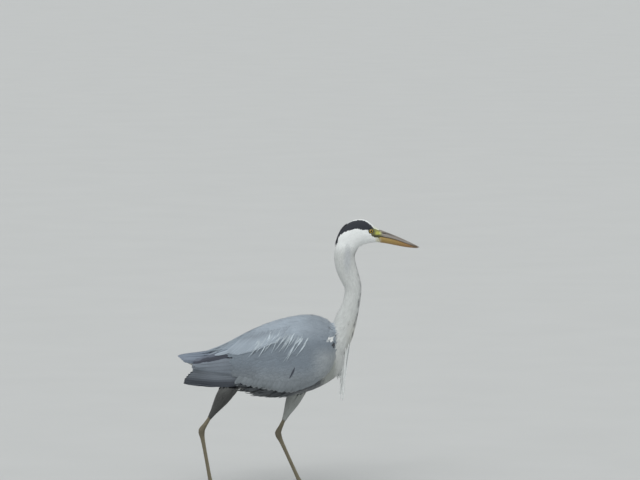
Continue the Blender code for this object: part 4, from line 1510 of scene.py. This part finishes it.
def lower_bill(points, normal):
    """The lower half's points, raised a little inside where they meet the upper half, and its colours."""
    x, y, z = points.T
    keel = along(GONYS, x)
    height = np.clip((z - keel) / np.maximum(along(MOUTH, x) - keel, 0.5), 0, 1)
    inner = smooth(0.8, 2.0, half_width(points) - np.abs(y)) * smooth(0.3, 0.8, normal[:, 2])
    raised = np.array([0, 0, 1.3]) * (inner * smooth(0.7, 0.95, height))[:, None]
    colours = painted(
        evenly(BILL_YELLOW, points),
        (BILL_ORANGE, smooth(235, 305, x)),
        (BILL_ORANGE, 0.55 * smooth(0.45, 0.1, height)),
        (BILL_DARK, 0.35 * smooth(0.75, 1.0, height) * smooth(225, 250, x)),
        (CREAM, 0.6 * smooth(224, 212, x) * smooth(0.9, 0.5, height)),
        (BILL_TIP, 0.85 * smooth(286, 318, x)),
    )
    return points + raised, colours


horn = horn_material()
for node, shaped in [("bill_upper", upper_bill), ("bill_lower", lower_bill)]:
    made = remeshed(f"{node}_horn", [node], voxel=0.55, rounds=5, change=lengthen)
    points, colours = shaped(places(made.data), outward(made.data))
    move_to(made.data, points)
    shade(made.data, colours)
    dressed(made, node, horn, node)


# --- Legs -------------------------------------------------------------------------------------------
LEGS = {
    "left": {"knee": (29, 31, 326), "ankle": (-55, 35, 143), "ball": (6, 33, 8.5)},
    "right": {"knee": (-142, -31, 335), "ankle": (-257, -35, 158), "ball": (-231, -33, 12.5)},
}
TOES = range(1, 5)
SHIN_PLATE = 4.4  # length of a transverse plate on the tarsus
TOE_PLATE = 3.0
PLATE_RELIEF = 0.32


def leg_material():
    """Scaly skin of the legs: small plates behind, worn pale edges and darker creases."""
    made = Nodes("leg_skin")
    place = made.place()
    cells = made.add("ShaderNodeTexVoronoi", {"feature": "DISTANCE_TO_EDGE"}, Scale=640.0, Vector=place)
    plates = made.spread(made.math("MULTIPLY", cells.outputs["Distance"], 4.0, clamp=True), 0.0, 1.0)
    mottle = made.spread(made.noise(120, 4), 0.78, 1.2)
    colour = made.scaled(made.stored(), made.math("MULTIPLY", mottle, made.spread(plates, 0.72, 1.04)))
    return made.finished(colour, made.spread(made.noise(260), 0.42, 0.66), (plates, 0.5, 0.00035))


def closed_on_claws(points, side):
    """The ends of the toes drawn on to the roots of their claws."""
    spots = np.concatenate([places(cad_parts[f"claw_{side}_{number}"].data) for number in TOES])
    tree = tree_of(spots)
    found = [tree.find(point) for point in points.tolist()]
    nearest = np.array([spot for spot, _, _ in found])
    away = np.array([distance for _, _, distance in found])
    return points + (nearest - points) * smooth(3.0, 1.3, away)[:, None]


def leg(side, scaly):
    """One bare leg with its foot and toes; transverse plates run down the tarsus and along the toes."""
    nodes = [f"shank_{side}", f"foot_{side}"] + [f"toe_{side}_{number}" for number in TOES]
    made = remeshed(f"leg_{side}", nodes, voxel=0.8, rounds=5)
    points = closed_on_claws(places(made.data), side)
    normal = outward(made.data)
    ankle, ball = (np.array(LEGS[side][key], float) for key in ("ankle", "ball"))
    down = unit(ball - ankle)
    front = unit(np.array([1.0, 0.0, 0.0]) - down * down[0])
    from_ankle = (points - ankle) @ down
    out = np.hypot(points[:, 0] - ball[0], points[:, 1] - ball[1])
    top = smooth(0.1, 0.6, normal[:, 2])
    on_toes = smooth(26, 16, points[:, 2]) * smooth(6, 12, out)
    on_shin = smooth(8, 16, from_ankle) * (1 - on_toes) * smooth(0.0, 0.55, normal @ front)
    shin = np.abs(np.sin(np.pi * from_ankle / SHIN_PLATE))
    toe_plate = np.abs(np.sin(np.pi * out / TOE_PLATE)) * top
    plates = on_shin * shin**0.5 + on_toes * toe_plate**0.5
    covered = on_shin + on_toes * top
    move_to(made.data, points + normal * (PLATE_RELIEF * (plates - covered))[:, None])
    shade(made.data, painted(
        evenly(LEG_BROWN, points),
        (LEG_PALE, 0.7 * plates),
        (LEG_DARK, 0.7 * covered * smooth(0.6, 0.25, plates)),
        (LEG_DARK, 0.35 * np.exp(-((from_ankle / 14) ** 2))),
    ))
    dressed(made, "leg_skin", scaly, *nodes)


def cuff(side, sign, count=110):
    """Short ragged feathers at the lower end of the thigh, lying over the top of the bare leg."""
    rng = seeded(100 + sign)
    knee, ankle = (np.array(LEGS[side][key], float) for key in ("knee", "ankle"))
    down = unit(ankle - knee)
    end = knee + down * (knee[2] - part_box(f"thigh_{side}")[0][2] / MM) / -down[2]
    out = around(down, rng.uniform(0, math.tau, count))
    root = shell.nearest(end - down * rng.uniform(3, 17, (count, 1)) + out * 12)[0] - out * 0.5
    tip = end + down * rng.uniform(0, 10, (count, 1)) + out * 4.7
    loose(f"cuff_{side}", "plumage_pale", (root, (root + tip) / 2 + out * 0.9, tip), out,
          rng.uniform(1.5, 2.5, count), 1.4, rng, THIGH_TINTS[f"thigh_{side}"], stations=8, across=3)


scaly = leg_material()
for side, sign in SIDES.items():
    leg(side, scaly)
    cuff(side, sign)


# --- Claws ------------------------------------------------------------------------------------------
CLAW_DARK = (48, 43, 38)
CLAW_PALE = (104, 94, 80)


def claw_material():
    """Dark horn of the claws, paler and scuffed along its grain."""
    made = Nodes("claw_horn")
    grain = made.noise(700, 5, 0.7)
    colour = made.ramp(grain, [(0.0, CLAW_DARK), (1.0, CLAW_PALE)])
    return made.finished(colour, made.spread(grain, 0.28, 0.5), (grain, 0.4, 0.0002))


claw_horn = claw_material()
for claw in [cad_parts[f"claw_{side}_{number}"] for side in SIDES for number in TOES]:
    claw.data.materials.clear()
    claw.data.materials.append(claw_horn)
    whole = claw.modifiers.new("whole", "WELD")
    whole.merge_threshold = 0.02 * MM
    fine = claw.modifiers.new("fine", "SUBSURF")
    fine.levels = fine.render_levels = 1
